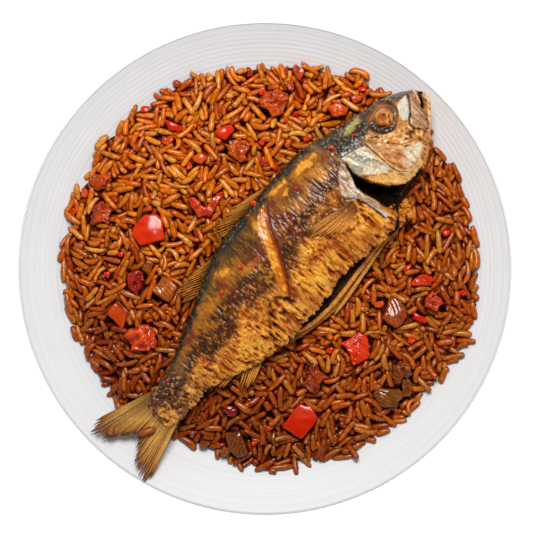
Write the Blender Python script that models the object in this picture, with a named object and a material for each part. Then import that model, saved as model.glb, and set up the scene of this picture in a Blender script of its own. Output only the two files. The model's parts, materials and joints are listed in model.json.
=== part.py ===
"""A plate of jollof rice with a whole fried fish on top, in metres, +Z up.

The origin is the centre of the plate's foot, on the table. The pieces are a stoneware coupe plate, one heap
of rice with a pocket for all that lies in it, one gutted and fried fish, and the diced pepper, tomato and
onion that show.
"""

import math

import bmesh
import bpy
from mathutils import Vector, noise

MM = 0.001
GAP = 0.45 * MM  # free space round each piece that lies in the rice

# ---- driving dimensions ----------------------------------------------------------------------------------
PLATE_RADIUS = 135 * MM
PLATE_HEIGHT = 24 * MM
PLATE_WALL = 4.5 * MM
PLATE_SEGMENTS = 72
WELL_RADIUS = 80 * MM
WELL_HEIGHT = 8 * MM
FOOT_OUTER = 84 * MM
FOOT_INNER = 78 * MM
FOOT_HEIGHT = 3 * MM
COUPE_POWER = 1.6

HEAP_RADIUS = 112 * MM
HEAP_CROWN = 27 * MM
HEAP_SEGMENTS = 50
HEAP_TOP_RINGS = 8
HEAP_BASE_RINGS = 3
HEAP_LUMP = 1.2 * MM
# Each wave of the heap's outline is (waves round the plate, height, phase).
HEAP_WAVES = (
    (1, 3.9 * MM, -0.52), (2, 1.8 * MM, 0.0), (5, 1.1 * MM, 0.8), (9, 0.8 * MM, 2.1), (14, 0.6 * MM, 4.0),
)

FISH_TURN = math.radians(48.5)
FISH_PLACE = (-48.5 * MM, -68.5 * MM)  # the narrowest point of the tail stalk
FISH_SECTION_POINTS = 11  # on each of the two sides


# ---- helpers ---------------------------------------------------------------------------------------------
def clear_scene():
    for old in list(bpy.data.objects):
        bpy.data.objects.remove(old)


def material(name, colour, roughness):
    """A plain glossy finish, with no metal in it."""
    made = bpy.data.materials.new(name)
    made.use_nodes = True
    shader = made.node_tree.nodes["Principled BSDF"]
    shader.inputs["Base Color"].default_value = (*colour, 1)
    shader.inputs["Roughness"].default_value = roughness
    made.diffuse_color = (*colour, 1)
    return made


def object_of(name, mesh, finish, parent=None):
    made = bpy.data.objects.new(name, mesh)
    made.data.materials.append(finish)
    made.parent = parent
    bpy.context.scene.collection.objects.link(made)
    return made


def mesh_of(name, points, faces):
    """A mesh from points and faces, with every face turned outwards."""
    mesh = bpy.data.meshes.new(name)
    mesh.from_pydata(points, [], faces)
    shape = bmesh.new()
    shape.from_mesh(mesh)
    bmesh.ops.recalc_face_normals(shape, faces=shape.faces)
    shape.to_mesh(mesh)
    shape.free()
    return mesh


def smooth(obj, degrees=35):
    obj.data.shade_smooth()
    obj.data.set_sharp_from_angle(angle=math.radians(degrees))
    return obj


def as_helper(obj):
    """A cutter, or a shape that another object is joined to: not a piece by itself."""
    obj.hide_render = True
    obj.display_type = "WIRE"
    return obj


def boolean(target, other, operation):
    cut = target.modifiers.new(f"{operation.lower()} {other.name}", "BOOLEAN")
    cut.operation = operation
    cut.object = as_helper(other)


def reading(table, at):
    """The value at a place along a table of (place, value), on a smooth curve through its rows."""
    last = len(table) - 1
    at = min(max(at, table[0][0]), table[last][0])
    i = max(k for k in range(last) if table[k][0] <= at)
    (x0, y0), (x1, y1) = table[i], table[i + 1]
    before, after = table[max(i - 1, 0)], table[min(i + 2, last)]
    slope0 = (y1 - before[1]) / (x1 - before[0])
    slope1 = (after[1] - y0) / (after[0] - x0)
    width = x1 - x0
    t = (at - x0) / width
    rise = y1 - y0
    a = slope0 * width - rise
    b = rise - slope1 * width
    return y0 + t * rise + t * (1 - t) * (a * (1 - t) + b * t)


def loft(name, rings):
    """A closed skin over rings with equally many points, with a flat cap on each end."""
    count = len(rings[0])
    points = [point for ring in rings for point in ring]
    faces = []
    for i in range(len(rings) - 1):
        for k in range(count):
            here, beside = i * count + k, i * count + (k + 1) % count
            faces.append((here, beside, beside + count, here + count))
    faces.append(tuple(range(count)))
    faces.append(tuple(range(len(points) - count, len(points))))
    return mesh_of(name, points, faces)


def sheet(name, outline, thickness, height_at):
    """A flat leaf with this (along, across) outline in mm, whose middle is at height_at(along, across)."""
    points = []
    for side in (-1, 1):
        for s, v in outline:
            points.append((s * MM, v * MM, height_at(s, v) + side * thickness / 2))
    count = len(outline)
    faces = [(k, (k + 1) % count, (k + 1) % count + count, k + count) for k in range(count)]
    faces.append(tuple(range(count)))
    faces.append(tuple(range(count, 2 * count)))
    mesh = mesh_of(name, points, faces)
    shape = bmesh.new()
    shape.from_mesh(mesh)
    bmesh.ops.triangulate(shape, faces=[face for face in shape.faces if len(face.verts) > 4])
    shape.to_mesh(mesh)
    shape.free()
    return mesh


# ---- the plate: a turned coupe of white stoneware --------------------------------------------------------
def plate_surface(radius):
    """Height of the plate's upper surface, level in the well and curving up to the lip."""
    out = max(radius - WELL_RADIUS, 0) / (PLATE_RADIUS - WELL_RADIUS)
    return WELL_HEIGHT + (PLATE_HEIGHT - WELL_HEIGHT) * out**COUPE_POWER


def make_plate():
    lip = 1.2 * MM
    rings = 6
    span = PLATE_RADIUS - lip - WELL_RADIUS
    curve = [WELL_RADIUS + span * k / rings for k in range(rings + 1)]
    upper = [(radius, plate_surface(radius)) for radius in reversed(curve)]
    upper += [(WELL_RADIUS / 2, WELL_HEIGHT), (0, WELL_HEIGHT)]
    floor = WELL_HEIGHT - PLATE_WALL
    under = [(0, floor), (FOOT_INNER - 1 * MM, floor), (FOOT_INNER, 0.6 * MM), (FOOT_INNER + 0.6 * MM, 0)]
    under += [(FOOT_OUTER - 0.6 * MM, 0), (FOOT_OUTER, 0.6 * MM), (FOOT_OUTER + 0.8 * MM, FOOT_HEIGHT)]
    under += [(r, plate_surface(r) - PLATE_WALL * (1 - 0.25 * (r - WELL_RADIUS) / span)) for r in curve[2:]]
    rim = [(PLATE_RADIUS, PLATE_HEIGHT - 1.7 * MM), (PLATE_RADIUS - 0.3 * MM, PLATE_HEIGHT - 0.5 * MM)]
    profile = upper + under + rim
    shape = bmesh.new()
    corners = [shape.verts.new((r, 0, z)) for r, z in profile]
    edges = [shape.edges.new((a, b)) for a, b in zip(corners, corners[1:])]
    edges.append(shape.edges.new((corners[-1], corners[0])))
    bmesh.ops.spin(
        shape, geom=corners + edges, cent=(0, 0, 0), axis=(0, 0, 1), angle=math.tau, steps=PLATE_SEGMENTS,
        use_merge=True,
    )
    bmesh.ops.remove_doubles(shape, verts=shape.verts, dist=0.01 * MM)
    bmesh.ops.dissolve_degenerate(shape, dist=0.01 * MM, edges=shape.edges)
    inner = [face for face in shape.faces if all(abs(v.co.x) + abs(v.co.y) < 1e-6 for v in face.verts)]
    bmesh.ops.delete(shape, geom=inner, context="FACES")
    bmesh.ops.recalc_face_normals(shape, faces=shape.faces)
    mesh = bpy.data.meshes.new("plate")
    shape.to_mesh(mesh)
    shape.free()
    glaze = material("white_glaze", (0.86, 0.86, 0.85), 0.3)
    return smooth(object_of("plate", mesh, glaze))


# ---- the rice: one heap, round and level, with a steep ragged edge ---------------------------------------
def heap_radius(angle):
    return HEAP_RADIUS + sum(height * math.cos(waves * angle + phase) for waves, height, phase in HEAP_WAVES)


def heap_surface(x, y):
    """Height of the heap's top at a point."""
    radius = math.hypot(x, y)
    edge = heap_radius(math.atan2(y, x))
    share = min(radius / edge, 1)
    base = plate_surface(edge) + 1.6 * MM
    lump = noise.noise(Vector((x, y, 0)) / (16 * MM)) * HEAP_LUMP * 2 * (1 - share**6)
    return base + (HEAP_CROWN - base) * (1 - share**3.2) ** 0.8 + lump


def heap_sheet(shape, rings, height):
    """One face of the heap, from its middle out to the heap's outline. It gives back the last ring."""
    middle = shape.verts.new((0, 0, height(0, 0)))
    inner = None
    for i in range(1, rings + 1):
        share = (i / rings) ** 0.8
        outer = []
        for k in range(HEAP_SEGMENTS):
            angle = math.tau * k / HEAP_SEGMENTS
            radius = heap_radius(angle) * share
            x, y = radius * math.cos(angle), radius * math.sin(angle)
            outer.append(shape.verts.new((x, y, height(x, y))))
        for k in range(HEAP_SEGMENTS):
            beside = (k + 1) % HEAP_SEGMENTS
            if inner:
                shape.faces.new((inner[k], outer[k], outer[beside], inner[beside]))
            else:
                shape.faces.new((middle, outer[k], outer[beside]))
        inner = outer
    return inner


def make_heap():
    shape = bmesh.new()
    top = heap_sheet(shape, HEAP_TOP_RINGS, heap_surface)
    base = heap_sheet(shape, HEAP_BASE_RINGS, lambda x, y: plate_surface(math.hypot(x, y)) + 2 * GAP)
    for k in range(HEAP_SEGMENTS):
        beside = (k + 1) % HEAP_SEGMENTS
        shape.faces.new((top[k], base[k], base[beside], top[beside]))
    bmesh.ops.recalc_face_normals(shape, faces=shape.faces)
    mesh = bpy.data.meshes.new("rice")
    shape.to_mesh(mesh)
    shape.free()
    return object_of("rice", mesh, material("jollof_rice", (0.56, 0.17, 0.02), 0.45))


# ---- the fish: gutted, scored and fried whole, lying on its side -----------------------------------------
# Rows are (distance from the tail stalk towards the snout, value), in millimetres. Across, plus is the back.
BACK = ((-17, 10.5), (-9, 10.8), (3, 10.6), (14, 13.8), (34, 21.1), (51, 27.8), (69, 34.4), (88, 37.1),
        (114, 37.9), (144, 36.8), (162, 31.2), (181, 26), (199, 19.9), (208, 13.9), (212, 8.5))
UPPER_BELLY = ((-17, -9), (-9, -10.4), (5, -10.9), (14, -11.2), (25, -14.5), (40, -21), (58, -25.5),
               (75, -28), (95, -28), (114, -26.3), (135, -27.8), (147, -28.2), (157, -22), (166, -20.2),
               (178, -19), (190, -14.4), (203, -3.9), (212, 4))
LOWER_BELLY = ((-17, -9), (-9, -10.4), (5, -10.9), (14, -11.2), (25, -14.5), (40, -21), (58, -26.5),
               (68, -30.4), (82, -33.6), (95, -35.1), (112, -33.3), (134, -31), (147, -31.5), (157, -23.5),
               (166, -21), (178, -19.4), (190, -14.8), (203, -4.2), (212, 4))
HALF_THICKNESS = ((-17, 0.4), (-9, 2.2), (3, 4.8), (30, 8.5), (60, 12.5), (100, 15.5), (140, 16), (165, 15.5),
                  (185, 13), (200, 9), (209, 5), (212, 3))
MIDDLE_HEIGHT = ((-50, 25.6), (-28, 26), (-9, 27.6), (3, 29), (30, 31.5), (60, 34), (100, 36), (165, 36.5),
                 (185, 36), (212, 34.5))
BELLY_EDGE = ((-17, 0), (-9, 0.3), (20, 0.8), (50, 2.2), (64, 5), (140, 5.4), (152, 3), (180, 2.2),
              (212, 0.6))
FISH_STATIONS = (-17, -10, -3, 3, 9, 16, 24, 33, 42, 51, 60, 68, 76, 85, 94, 103, 112, 121, 130, 138, 145,
                 151, 157, 163, 170, 178, 186, 193, 199, 204, 208, 211, 212)
GILL_OPENING = ((156, 18.5), (153, 6), (155, 1), (159, -7), (163, -13.5), (168, -16.5), (174, -17.5),
                (171, -23), (164, -26), (149, -26), (146.6, -14), (145.4, -5), (144.4, 3.2), (148, 10))
MOUTH = ((204, 3.6), (209.6, 10.8), (213.5, 13), (214, 8.6), (209.2, 8))
SCORE_PATH = ((112, 36), (104, 30.5), (98.5, 22), (94, 12), (90, 3), (85.5, -5), (80, -13))
SCORE_WIDTH = 5.5
EYE = (186.5, 14.2)
TAIL_FIN = ((-2, 9.5), (-9, 12.8), (-16, 16.4), (-25, 19.6), (-34, 22.8), (-41, 23.2), (-47.5, 20.5),
            (-48.5, 17.5), (-44, 12.5), (-38, 7), (-33, 3), (-28.5, 0.6), (-33, -1.8), (-38, -5),
            (-42.5, -7.5), (-46, -12), (-47.8, -17), (-47.6, -19.4), (-42, -18.6), (-30, -15.2), (-18, -13),
            (-8, -12.6), (-2, -9))
BACK_FINS = (
    ((122, 36), (119, 39.6), (109, 42.6), (99, 44.2), (88, 44.8), (80.5, 44.6), (80, 41), (84, 36), (84, 32),
     (118, 32)),
    ((73, 34), (66, 36.6), (55, 38), (45, 37), (43, 34.4), (48, 28), (48, 24), (70, 28)),
)
VENT_FINS = (
    ((47, -20), (41, -25.6), (33, -27.6), (25.5, -26.4), (28, -23), (36, -18), (40, -14)),
    ((32, -14), (29, -20), (22, -17.8), (17.5, -15.4), (21, -13.2), (24, -10)),
)
SIDE_FIN = ((143, -3.5), (136, -2), (128, 1.6), (119, 5), (109, 6.4), (111, 2.4), (118, -5.5), (124, -12),
            (132, -14), (139, -10.5))


def fish_section(s, grow):
    """The points round the fish at a distance along it, from the upper belly edge over to the lower one."""
    back = reading(BACK, s) * MM + grow
    middle = reading(MIDDLE_HEIGHT, s) * MM
    half = reading(HALF_THICKNESS, s) * MM + grow
    edge = reading(BELLY_EDGE, s) * MM
    ring = []
    for side, table in ((1, UPPER_BELLY), (-1, LOWER_BELLY)):
        belly = reading(table, s) * MM - grow
        centre, reach = (back + belly) / 2, (back - belly) / 2
        for k in range(FISH_SECTION_POINTS):
            turn = math.pi * (1 - k / (FISH_SECTION_POINTS - 1))
            if side < 0:
                turn = math.pi - turn
            across, up = math.cos(turn), math.sin(turn)
            if side < 0 and k == 0:
                continue  # the back's own point is already there
            height = half * up**0.85 * (1 + 0.16 * across) + edge * (1 - across) / 2 * (1 - 0.5 * up)
            ring.append((s * MM, centre + reach * across, middle + side * height))
    return ring


def fish_top(s, v):
    """Height of the fish's upper skin at a point, in metres."""
    back, belly = reading(BACK, s), reading(UPPER_BELLY, s)
    across = min(max((2 * v - back - belly) / (back - belly), -1), 1)
    up = math.sqrt(1 - across * across)
    edge = reading(BELLY_EDGE, s) * (1 - across) / 2 * (1 - 0.5 * up)
    half = reading(HALF_THICKNESS, s) * up**0.85 * (1 + 0.16 * across)
    return (reading(MIDDLE_HEIGHT, s) + half + edge) * MM


def middle_height(s, v):
    return reading(MIDDLE_HEIGHT, s) * MM


def fish_shape(suffix, place, skin, grow=0.0):
    """The trunk with its fins joined to it, grown on all sides by that much."""
    rings = [fish_section(s, grow) for s in FISH_STATIONS]
    if grow:
        rings[0] = [(x - grow, y, z) for x, y, z in rings[0]]
        rings[-1] = [(x + grow, y, z) for x, y, z in rings[-1]]
    trunk = object_of(f"fish{suffix}", loft("trunk", rings), skin, place)
    leaves = [("tail_fin", TAIL_FIN, 1.5 * MM)]
    leaves += [(f"back_fin_{n}", fin, 1.6 * MM) for n, fin in enumerate(BACK_FINS, 1)]
    leaves += [(f"vent_fin_{n}", fin, 1.6 * MM) for n, fin in enumerate(VENT_FINS, 1)]
    for name, outline, thickness in leaves:
        leaf = sheet(name, outline, thickness + 2 * grow, middle_height)
        boolean(trunk, object_of(f"{name}{suffix}", leaf, skin, place), "UNION")
    return trunk


def score_cut(skin, place):
    """A wedge that follows the upper skin from the back down to the flank."""
    rings = []
    last = len(SCORE_PATH) - 1
    for i, (s, v) in enumerate(SCORE_PATH):
        width = SCORE_WIDTH / 2 * (0.35 + 0.65 * math.sin(math.pi * min(i + 0.5, last) / last))
        top = fish_top(s, v) + 3 * MM
        floor = fish_top(s, v) - (2.6 if 0 < i < last else 0.6) * MM
        near, far = (s - width) * MM, (s + width) * MM
        rings.append([(near, v * MM, top), (far, v * MM, top), (s * MM, v * MM, floor)])
    return as_helper(object_of("score_cut", loft("score_cut", rings), skin, place))


def prism(name, outline, low, high, skin, place):
    """An upright block with this outline."""
    rings = [[(s * MM, v * MM, z) for s, v in outline] for z in (low, high)]
    return as_helper(object_of(name, loft(name, rings), skin, place))


def ball(name, centre, radii, skin, place, segments=14, rings=9):
    shape = bmesh.new()
    bmesh.ops.create_uvsphere(shape, u_segments=segments, v_segments=rings, radius=1)
    bmesh.ops.scale(shape, vec=Vector(radii), verts=shape.verts)
    bmesh.ops.translate(shape, vec=Vector(centre), verts=shape.verts)
    mesh = bpy.data.meshes.new(name)
    shape.to_mesh(mesh)
    shape.free()
    return as_helper(object_of(name, mesh, skin, place))


def make_fish(place, skin):
    fish = fish_shape("", place, skin)
    side_fin = sheet("side_fin", SIDE_FIN, 1.8 * MM, lambda s, v: fish_top(s, v) + 0.9 * MM)
    boolean(fish, object_of("side_fin", side_fin, skin, place), "UNION")
    hollow = (42 * MM, 20 * MM, 4.4 * MM)
    cavity = ball("belly_cavity", (104 * MM, -19 * MM, 36 * MM), hollow, skin, place, 20, 10)
    boolean(fish, cavity, "DIFFERENCE")
    chamber = ball("gill_chamber", (163 * MM, -6 * MM, 36 * MM), (15 * MM, 13 * MM, 12 * MM), skin, place)
    boolean(fish, chamber, "DIFFERENCE")
    boolean(fish, prism("gill_opening", GILL_OPENING, 26 * MM, 60 * MM, skin, place), "DIFFERENCE")
    boolean(fish, prism("mouth_opening", MOUTH, 20 * MM, 50 * MM, skin, place), "DIFFERENCE")
    boolean(fish, score_cut(skin, place), "DIFFERENCE")
    eye_height = fish_top(*EYE)
    eye_x, eye_y = EYE[0] * MM, EYE[1] * MM
    socket = ball("eye_socket", (eye_x, eye_y, eye_height + 0.8 * MM), (8 * MM, 7 * MM, 3 * MM), skin, place)
    boolean(fish, socket, "DIFFERENCE")
    eye = ball("eye", (eye_x, eye_y, eye_height - 1.6 * MM), (5 * MM, 5 * MM, 3.4 * MM), skin, place)
    boolean(fish, eye, "UNION")
    return fish


# ---- the diced vegetables: pepper skin, soft tomato and onion petals -------------------------------------
# Each outline holds its corners in millimetres from the piece's middle, and "at" is that middle on the plate.
PEPPERS = (
    {"at": (-63.5, 21), "outline": ((-9, -2), (-7, 3), (2, 8.2), (7.6, 5), (9.2, -5.5), (-4.2, -9)),
     "tilt": (9, -6)},
    {"at": (-80.5, -26), "outline": ((-6, 1), (-1.4, 7.4), (5.4, 1), (2.6, -7.4)), "tilt": (-4, 5)},
    {"at": (19.5, -83.5), "outline": ((-10.6, -3.6), (0, 9.6), (9.6, 1.4), (0.8, -9.8)), "tilt": (6, -8)},
    {"at": (49, -44), "outline": ((-8, 3.4), (3, 9.4), (7.6, 4), (7.6, -5), (-1, -10), (-3, -4)),
     "tilt": (-6, 4)},
    {"at": (-22, 74), "outline": ((-5.4, 1), (3.4, 4.4), (5.4, 1.4), (0.4, -4.8), (-3.8, -2.6)),
     "tilt": (10, 6)},
    {"at": (-50, 77.5), "outline": ((-5, 3.8), (5, -0.4), (4, -3.6), (-2.6, -2.8)), "tilt": (-8, 4)},
    {"at": (84.2, -27), "outline": ((-4, 3.4), (4.4, -1), (3.2, -3.4), (-3.6, -1.2)), "tilt": (5, 8)},
    {"at": (40, 86), "outline": ((-6, 1.6), (-1, 4.2), (6, 1), (4.4, -3), (-3, -4)), "tilt": (-6, 5)},
    {"at": (-35.5, 59.5), "outline": ((-4.6, 1.6), (1, 3.4), (4.6, 0), (1, -3.2), (-3.6, -1.8)),
     "tilt": (6, -5)},
)
TOMATOES = (
    {"at": (-90.5, 30), "size": (6.2, 7.6, 4.2)},
    {"at": (-90.8, 46.6), "size": (6.4, 5, 3.8)},
    {"at": (-66.6, -37.6), "size": (10, 8.6, 5)},
    {"at": (-69.8, -9.2), "size": (5.8, 6.6, 4)},
    {"at": (-14.6, 64.6), "size": (7.8, 6.2, 4.6)},
    {"at": (4.4, 89.6), "size": (7.6, 8.2, 4.4)},
    {"at": (27.8, -60.2), "size": (8, 6.8, 4.2)},
    {"at": (73.8, -55.2), "size": (7.2, 6.6, 4.2)},
    {"at": (93, -16.6), "size": (6, 6, 4.2)},
    {"at": (85, -7.4), "size": (5.8, 3, 3)},
    {"at": (-19, -78), "size": (5, 3.2, 2.8)},
)
SKIN_CURL = {
    "at": (-32.5, 30.5),
    "outline": ((-10.2, 7.9), (-6, 8.5), (-1.6, 3.2), (1, 3.2), (9.6, 13.1), (10.6, 9.9), (3.4, -2.3),
                (-3, -3.1)),
    "tilt": (4, -4),
}
ONIONS = (
    {"at": (-55, -11.2), "outline": ((-7, -1.6), (-0.6, 6.6), (7.6, 0.6), (3, -8)), "tilt": (-12, 8)},
    {"at": (70.6, -24), "outline": ((-6.8, -4), (-2.4, 9), (3.2, 7.6), (7.4, 0), (0.4, -9.4)),
     "tilt": (8, 6)},
    {"at": (67, -70.6), "outline": ((-8.6, 2), (-6, 5.2), (6.4, 4.6), (9, 0.6), (3.4, -5.2), (-4, -5.4)),
     "tilt": (5, 9)},
    {"at": (-15.4, -96), "outline": ((-6.6, 6), (2, 7.6), (6.8, -5.6), (0.6, -8), (-4.2, -3.4)),
     "tilt": (6, -6)},
)
PEPPER_WALL = 3.2
ONION_WALL = 3.6
SKIN_WALL = 2.6


def place_piece(obj, at, tilt, sunk):
    """Lays a piece on the heap, its middle sunk below the surface."""
    x, y = at[0] * MM, at[1] * MM
    obj.location = (x, y, heap_surface(x, y) - sunk * MM)
    obj.rotation_euler = (math.radians(tilt[0]), math.radians(tilt[1]), 0)
    return obj


def cut_piece(name, finish, spec, wall, crown, sunk):
    """A piece cut out of a curved wall: its outline, with a domed upper face and a lower one domed less."""
    levels = ((0.5, crown / 2 - wall / 2), (1, -wall / 2), (1, wall / 2), (0.8, wall / 2 + crown * 0.7))
    levels += ((0.4, wall / 2 + crown),)
    rings = [[(x * share * MM, y * share * MM, z * MM) for x, y in spec["outline"]] for share, z in levels]
    return place_piece(object_of(name, loft(name, rings), finish), spec["at"], spec["tilt"], sunk)


def soft_lump(name, finish, spec, seed):
    """A collapsed lump of tomato: a flattened ball, pushed in and out."""
    shape = bmesh.new()
    bmesh.ops.create_icosphere(shape, subdivisions=2, radius=1)
    size = Vector(spec["size"]) * MM
    for vertex in shape.verts:
        swell = 1 + 0.3 * noise.noise(vertex.co * 1.6 + Vector((seed * 7.3, 0, 0)))
        vertex.co = Vector(a * b for a, b in zip(vertex.co, size)) * swell
    mesh = bpy.data.meshes.new(name)
    shape.to_mesh(mesh)
    shape.free()
    return place_piece(object_of(name, mesh, finish), spec["at"], (0, 0), spec["size"][2] * 0.25)


def make_toppings():
    pepper = material("pepper", (0.72, 0.06, 0.01), 0.25)
    tomato = material("tomato", (0.55, 0.06, 0.01), 0.35)
    onion = material("onion", (0.42, 0.2, 0.06), 0.3)
    pieces = []
    for n, spec in enumerate(PEPPERS, 1):
        pieces.append(cut_piece(f"pepper_{n}", pepper, spec, PEPPER_WALL, 1.2, 0.2))
    pieces += [soft_lump(f"tomato_{n}", tomato, spec, n) for n, spec in enumerate(TOMATOES, 1)]
    pieces.append(cut_piece("tomato_skin", tomato, SKIN_CURL, SKIN_WALL, 0.5, 0))
    pieces += [cut_piece(f"onion_{n}", onion, spec, ONION_WALL, 1, 0.4) for n, spec in enumerate(ONIONS, 1)]
    return pieces


def grown_copy(piece):
    """A cutter with a piece's own shape and place, larger by the gap on every side."""
    mesh = piece.data.copy()
    shape = bmesh.new()
    shape.from_mesh(mesh)
    shape.normal_update()
    moves = [(vertex, vertex.normal * GAP * vertex.calc_shell_factor()) for vertex in shape.verts]
    for vertex, move in moves:
        vertex.co += move
    shape.to_mesh(mesh)
    shape.free()
    cutter = bpy.data.objects.new(f"{piece.name}_pocket", mesh)
    cutter.location, cutter.rotation_euler = piece.location, piece.rotation_euler
    bpy.context.scene.collection.objects.link(cutter)
    return cutter


def cut_pockets(rice, toppings, place, skin):
    """Takes out of the rice the room that the fish and the vegetables lie in."""
    boolean(rice, fish_shape("_pocket", place, skin, GAP), "DIFFERENCE")
    for piece in toppings:
        boolean(rice, grown_copy(piece), "DIFFERENCE")


def main():
    clear_scene()
    place = bpy.data.objects.new("fish_place", None)
    place.location = (*FISH_PLACE, 0)
    place.rotation_euler = (0, 0, FISH_TURN)
    bpy.context.scene.collection.objects.link(place)
    skin = material("fried_skin", (0.42, 0.2, 0.05), 0.4)
    make_plate()
    rice = make_heap()
    make_fish(place, skin)
    cut_pockets(rice, make_toppings(), place, skin)


main()
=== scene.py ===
"""A plate of jollof rice with a whole fried fish, built up as it is served: plate, fish, vegetables, rice."""

import json
import math
import random

import bmesh
import bpy
import numpy as np
from mathutils import Euler, Matrix, Vector

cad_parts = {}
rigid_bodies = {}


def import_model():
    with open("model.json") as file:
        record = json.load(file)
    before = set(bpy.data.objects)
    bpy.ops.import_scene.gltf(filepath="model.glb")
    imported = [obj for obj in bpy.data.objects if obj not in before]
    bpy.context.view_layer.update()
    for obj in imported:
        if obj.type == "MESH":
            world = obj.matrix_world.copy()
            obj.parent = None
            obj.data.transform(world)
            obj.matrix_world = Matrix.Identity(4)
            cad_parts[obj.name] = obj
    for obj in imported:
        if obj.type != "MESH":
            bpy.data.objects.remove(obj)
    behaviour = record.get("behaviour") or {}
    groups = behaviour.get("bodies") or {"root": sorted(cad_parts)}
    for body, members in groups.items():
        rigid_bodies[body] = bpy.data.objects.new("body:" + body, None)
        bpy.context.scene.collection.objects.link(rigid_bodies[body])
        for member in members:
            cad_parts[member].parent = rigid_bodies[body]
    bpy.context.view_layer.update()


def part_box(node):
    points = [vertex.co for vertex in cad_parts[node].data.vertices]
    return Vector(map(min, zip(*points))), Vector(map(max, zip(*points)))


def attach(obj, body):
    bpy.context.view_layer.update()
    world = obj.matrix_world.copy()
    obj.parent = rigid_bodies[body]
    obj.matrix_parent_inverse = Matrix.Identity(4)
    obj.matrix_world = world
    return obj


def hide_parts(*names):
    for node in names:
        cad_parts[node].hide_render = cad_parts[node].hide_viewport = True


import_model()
bpy.ops.object.select_all(action="DESELECT")
bpy.context.scene.view_settings.view_transform = "Standard"
MM = 0.001

# ---- the table, the light and the camera --------------------------------------------------------------------------
# The plate stands on a white table top under one wide soft lamp behind it. White walls all round fill the shadows,
# and the ceiling is darker. The camera looks straight down from two metres.
CAMERA_HEIGHT = 2.0
FRAME_WIDTH = 290.7 * MM  # what the picture takes in at the height of the plate's lip
FRAME_CENTRE = (0.8 * MM, 0.8 * MM)
LIP_HEIGHT = 24 * MM
SENSOR_WIDTH = 36
KEY_PLACE = (0.05, 0.62, 1.3)
KEY_SIZE = 0.5
KEY_POWER = 17.6
FILL_STRENGTH = 0.41


def tone(red, green, blue):
    """A colour as the eye reads it, 0 to 255, turned into the light that it stands for."""
    scaled = [level / 255 for level in (red, green, blue)]
    return tuple(c / 12.92 if c < 0.04045 else ((c + 0.055) / 1.055) ** 2.4 for c in scaled)


def principled(name, **values):
    """A material with these values set on the shader's own sockets."""
    made = bpy.data.materials.new(name)
    made.use_nodes = True
    shader = made.node_tree.nodes["Principled BSDF"]
    for key, value in values.items():
        socket = shader.inputs[key.replace("_", " ").title().replace("Ior", "IOR")]
        socket.default_value = (*value, 1) if isinstance(value, tuple) and socket.type == "RGBA" else value
    return made


def add_node(tree, kind, feeds, operation=None):
    """A shader node whose inputs take these values, or are linked from these sockets."""
    node = tree.nodes.new(kind)
    if operation:
        node.operation = operation
    for key, feed in feeds.items():
        if isinstance(feed, bpy.types.NodeSocket):
            tree.links.new(feed, node.inputs[key])
        else:
            node.inputs[key].default_value = feed
    return node


camera_data = bpy.data.cameras.new("overhead")
camera_data.sensor_width = SENSOR_WIDTH
camera_data.lens = SENSOR_WIDTH * (CAMERA_HEIGHT - LIP_HEIGHT) / FRAME_WIDTH
camera_data.clip_end = 10
camera = bpy.data.objects.new("overhead", camera_data)
camera.location = (*FRAME_CENTRE, CAMERA_HEIGHT)
bpy.context.scene.collection.objects.link(camera)
bpy.context.scene.camera = camera

key_data = bpy.data.lights.new("key", "AREA")
key_data.shape = "SQUARE"
key_data.size = KEY_SIZE
key_data.energy = KEY_POWER
key = bpy.data.objects.new("key", key_data)
key.location = KEY_PLACE
key.rotation_euler = (-Vector(KEY_PLACE)).to_track_quat("-Z", "Y").to_euler()
bpy.context.scene.collection.objects.link(key)

world = bpy.data.worlds.new("white_walls")
world.use_nodes = True
room = world.node_tree
direction = add_node(room, "ShaderNodeTexCoord", {})
parts = add_node(room, "ShaderNodeSeparateXYZ", {"Vector": direction.outputs["Generated"]})
# The walls fade into the dark ceiling over these heights of the direction that the light comes from.
ceiling = add_node(room, "ShaderNodeMapRange", {
    "From Min": 0.55, "From Max": 0.9, "To Min": FILL_STRENGTH, "To Max": 0.12 * FILL_STRENGTH,
    "Value": parts.outputs["Z"],
})
room.links.new(ceiling.outputs["Result"], room.nodes["Background"].inputs["Strength"])
room.nodes["Background"].inputs["Color"].default_value = (1, 1, 1, 1)
bpy.context.scene.world = world

bpy.ops.mesh.primitive_plane_add(size=6, location=(0, 0, -0.0005))
table_top = bpy.context.object
table_top.name = "table_top"
table_white = principled("table_white", base_color=(0.93, 0.93, 0.93), roughness=0.6,
                         emission_color=(1.0, 1.0, 1.0))
table_white.node_tree.nodes["Principled BSDF"].inputs["Emission Strength"].default_value = 0.8
table_top.data.materials.append(table_white)
bpy.ops.object.select_all(action="DESELECT")

# ---- the plate ----------------------------------------------------------------------------------------------------
# A coupe plate of white stoneware, thrown and turned, whose upper side keeps the fine rings of the turning tool under
# a clear glaze. It stands on a low turned foot.
PLATE_RADIUS = 135 * MM
PLATE_HEIGHT = 24 * MM
PLATE_WALL = 4.5 * MM
WELL_RADIUS = 80 * MM
WELL_HEIGHT = 8 * MM
FOOT_OUTER = 84 * MM
FOOT_INNER = 78 * MM
FOOT_HEIGHT = 3 * MM
COUPE_POWER = 1.6
RING_PITCH = 2.35 * MM
RING_DEPTH = 0.048 * MM
RING_STEPS = 6  # points to each turned ring
PLATE_TURNS = 180
LIP_ROUND = 1.5 * MM  # the lip's radius
FOOT_ROUND = 0.6 * MM


def plate_surface(radius):
    """Height of the plate's upper side, level in the well and curving up to the lip."""
    out = np.maximum(np.asarray(radius, float) - WELL_RADIUS, 0) / (PLATE_RADIUS - WELL_RADIUS)
    return WELL_HEIGHT + (PLATE_HEIGHT - WELL_HEIGHT) * out**COUPE_POWER


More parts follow.
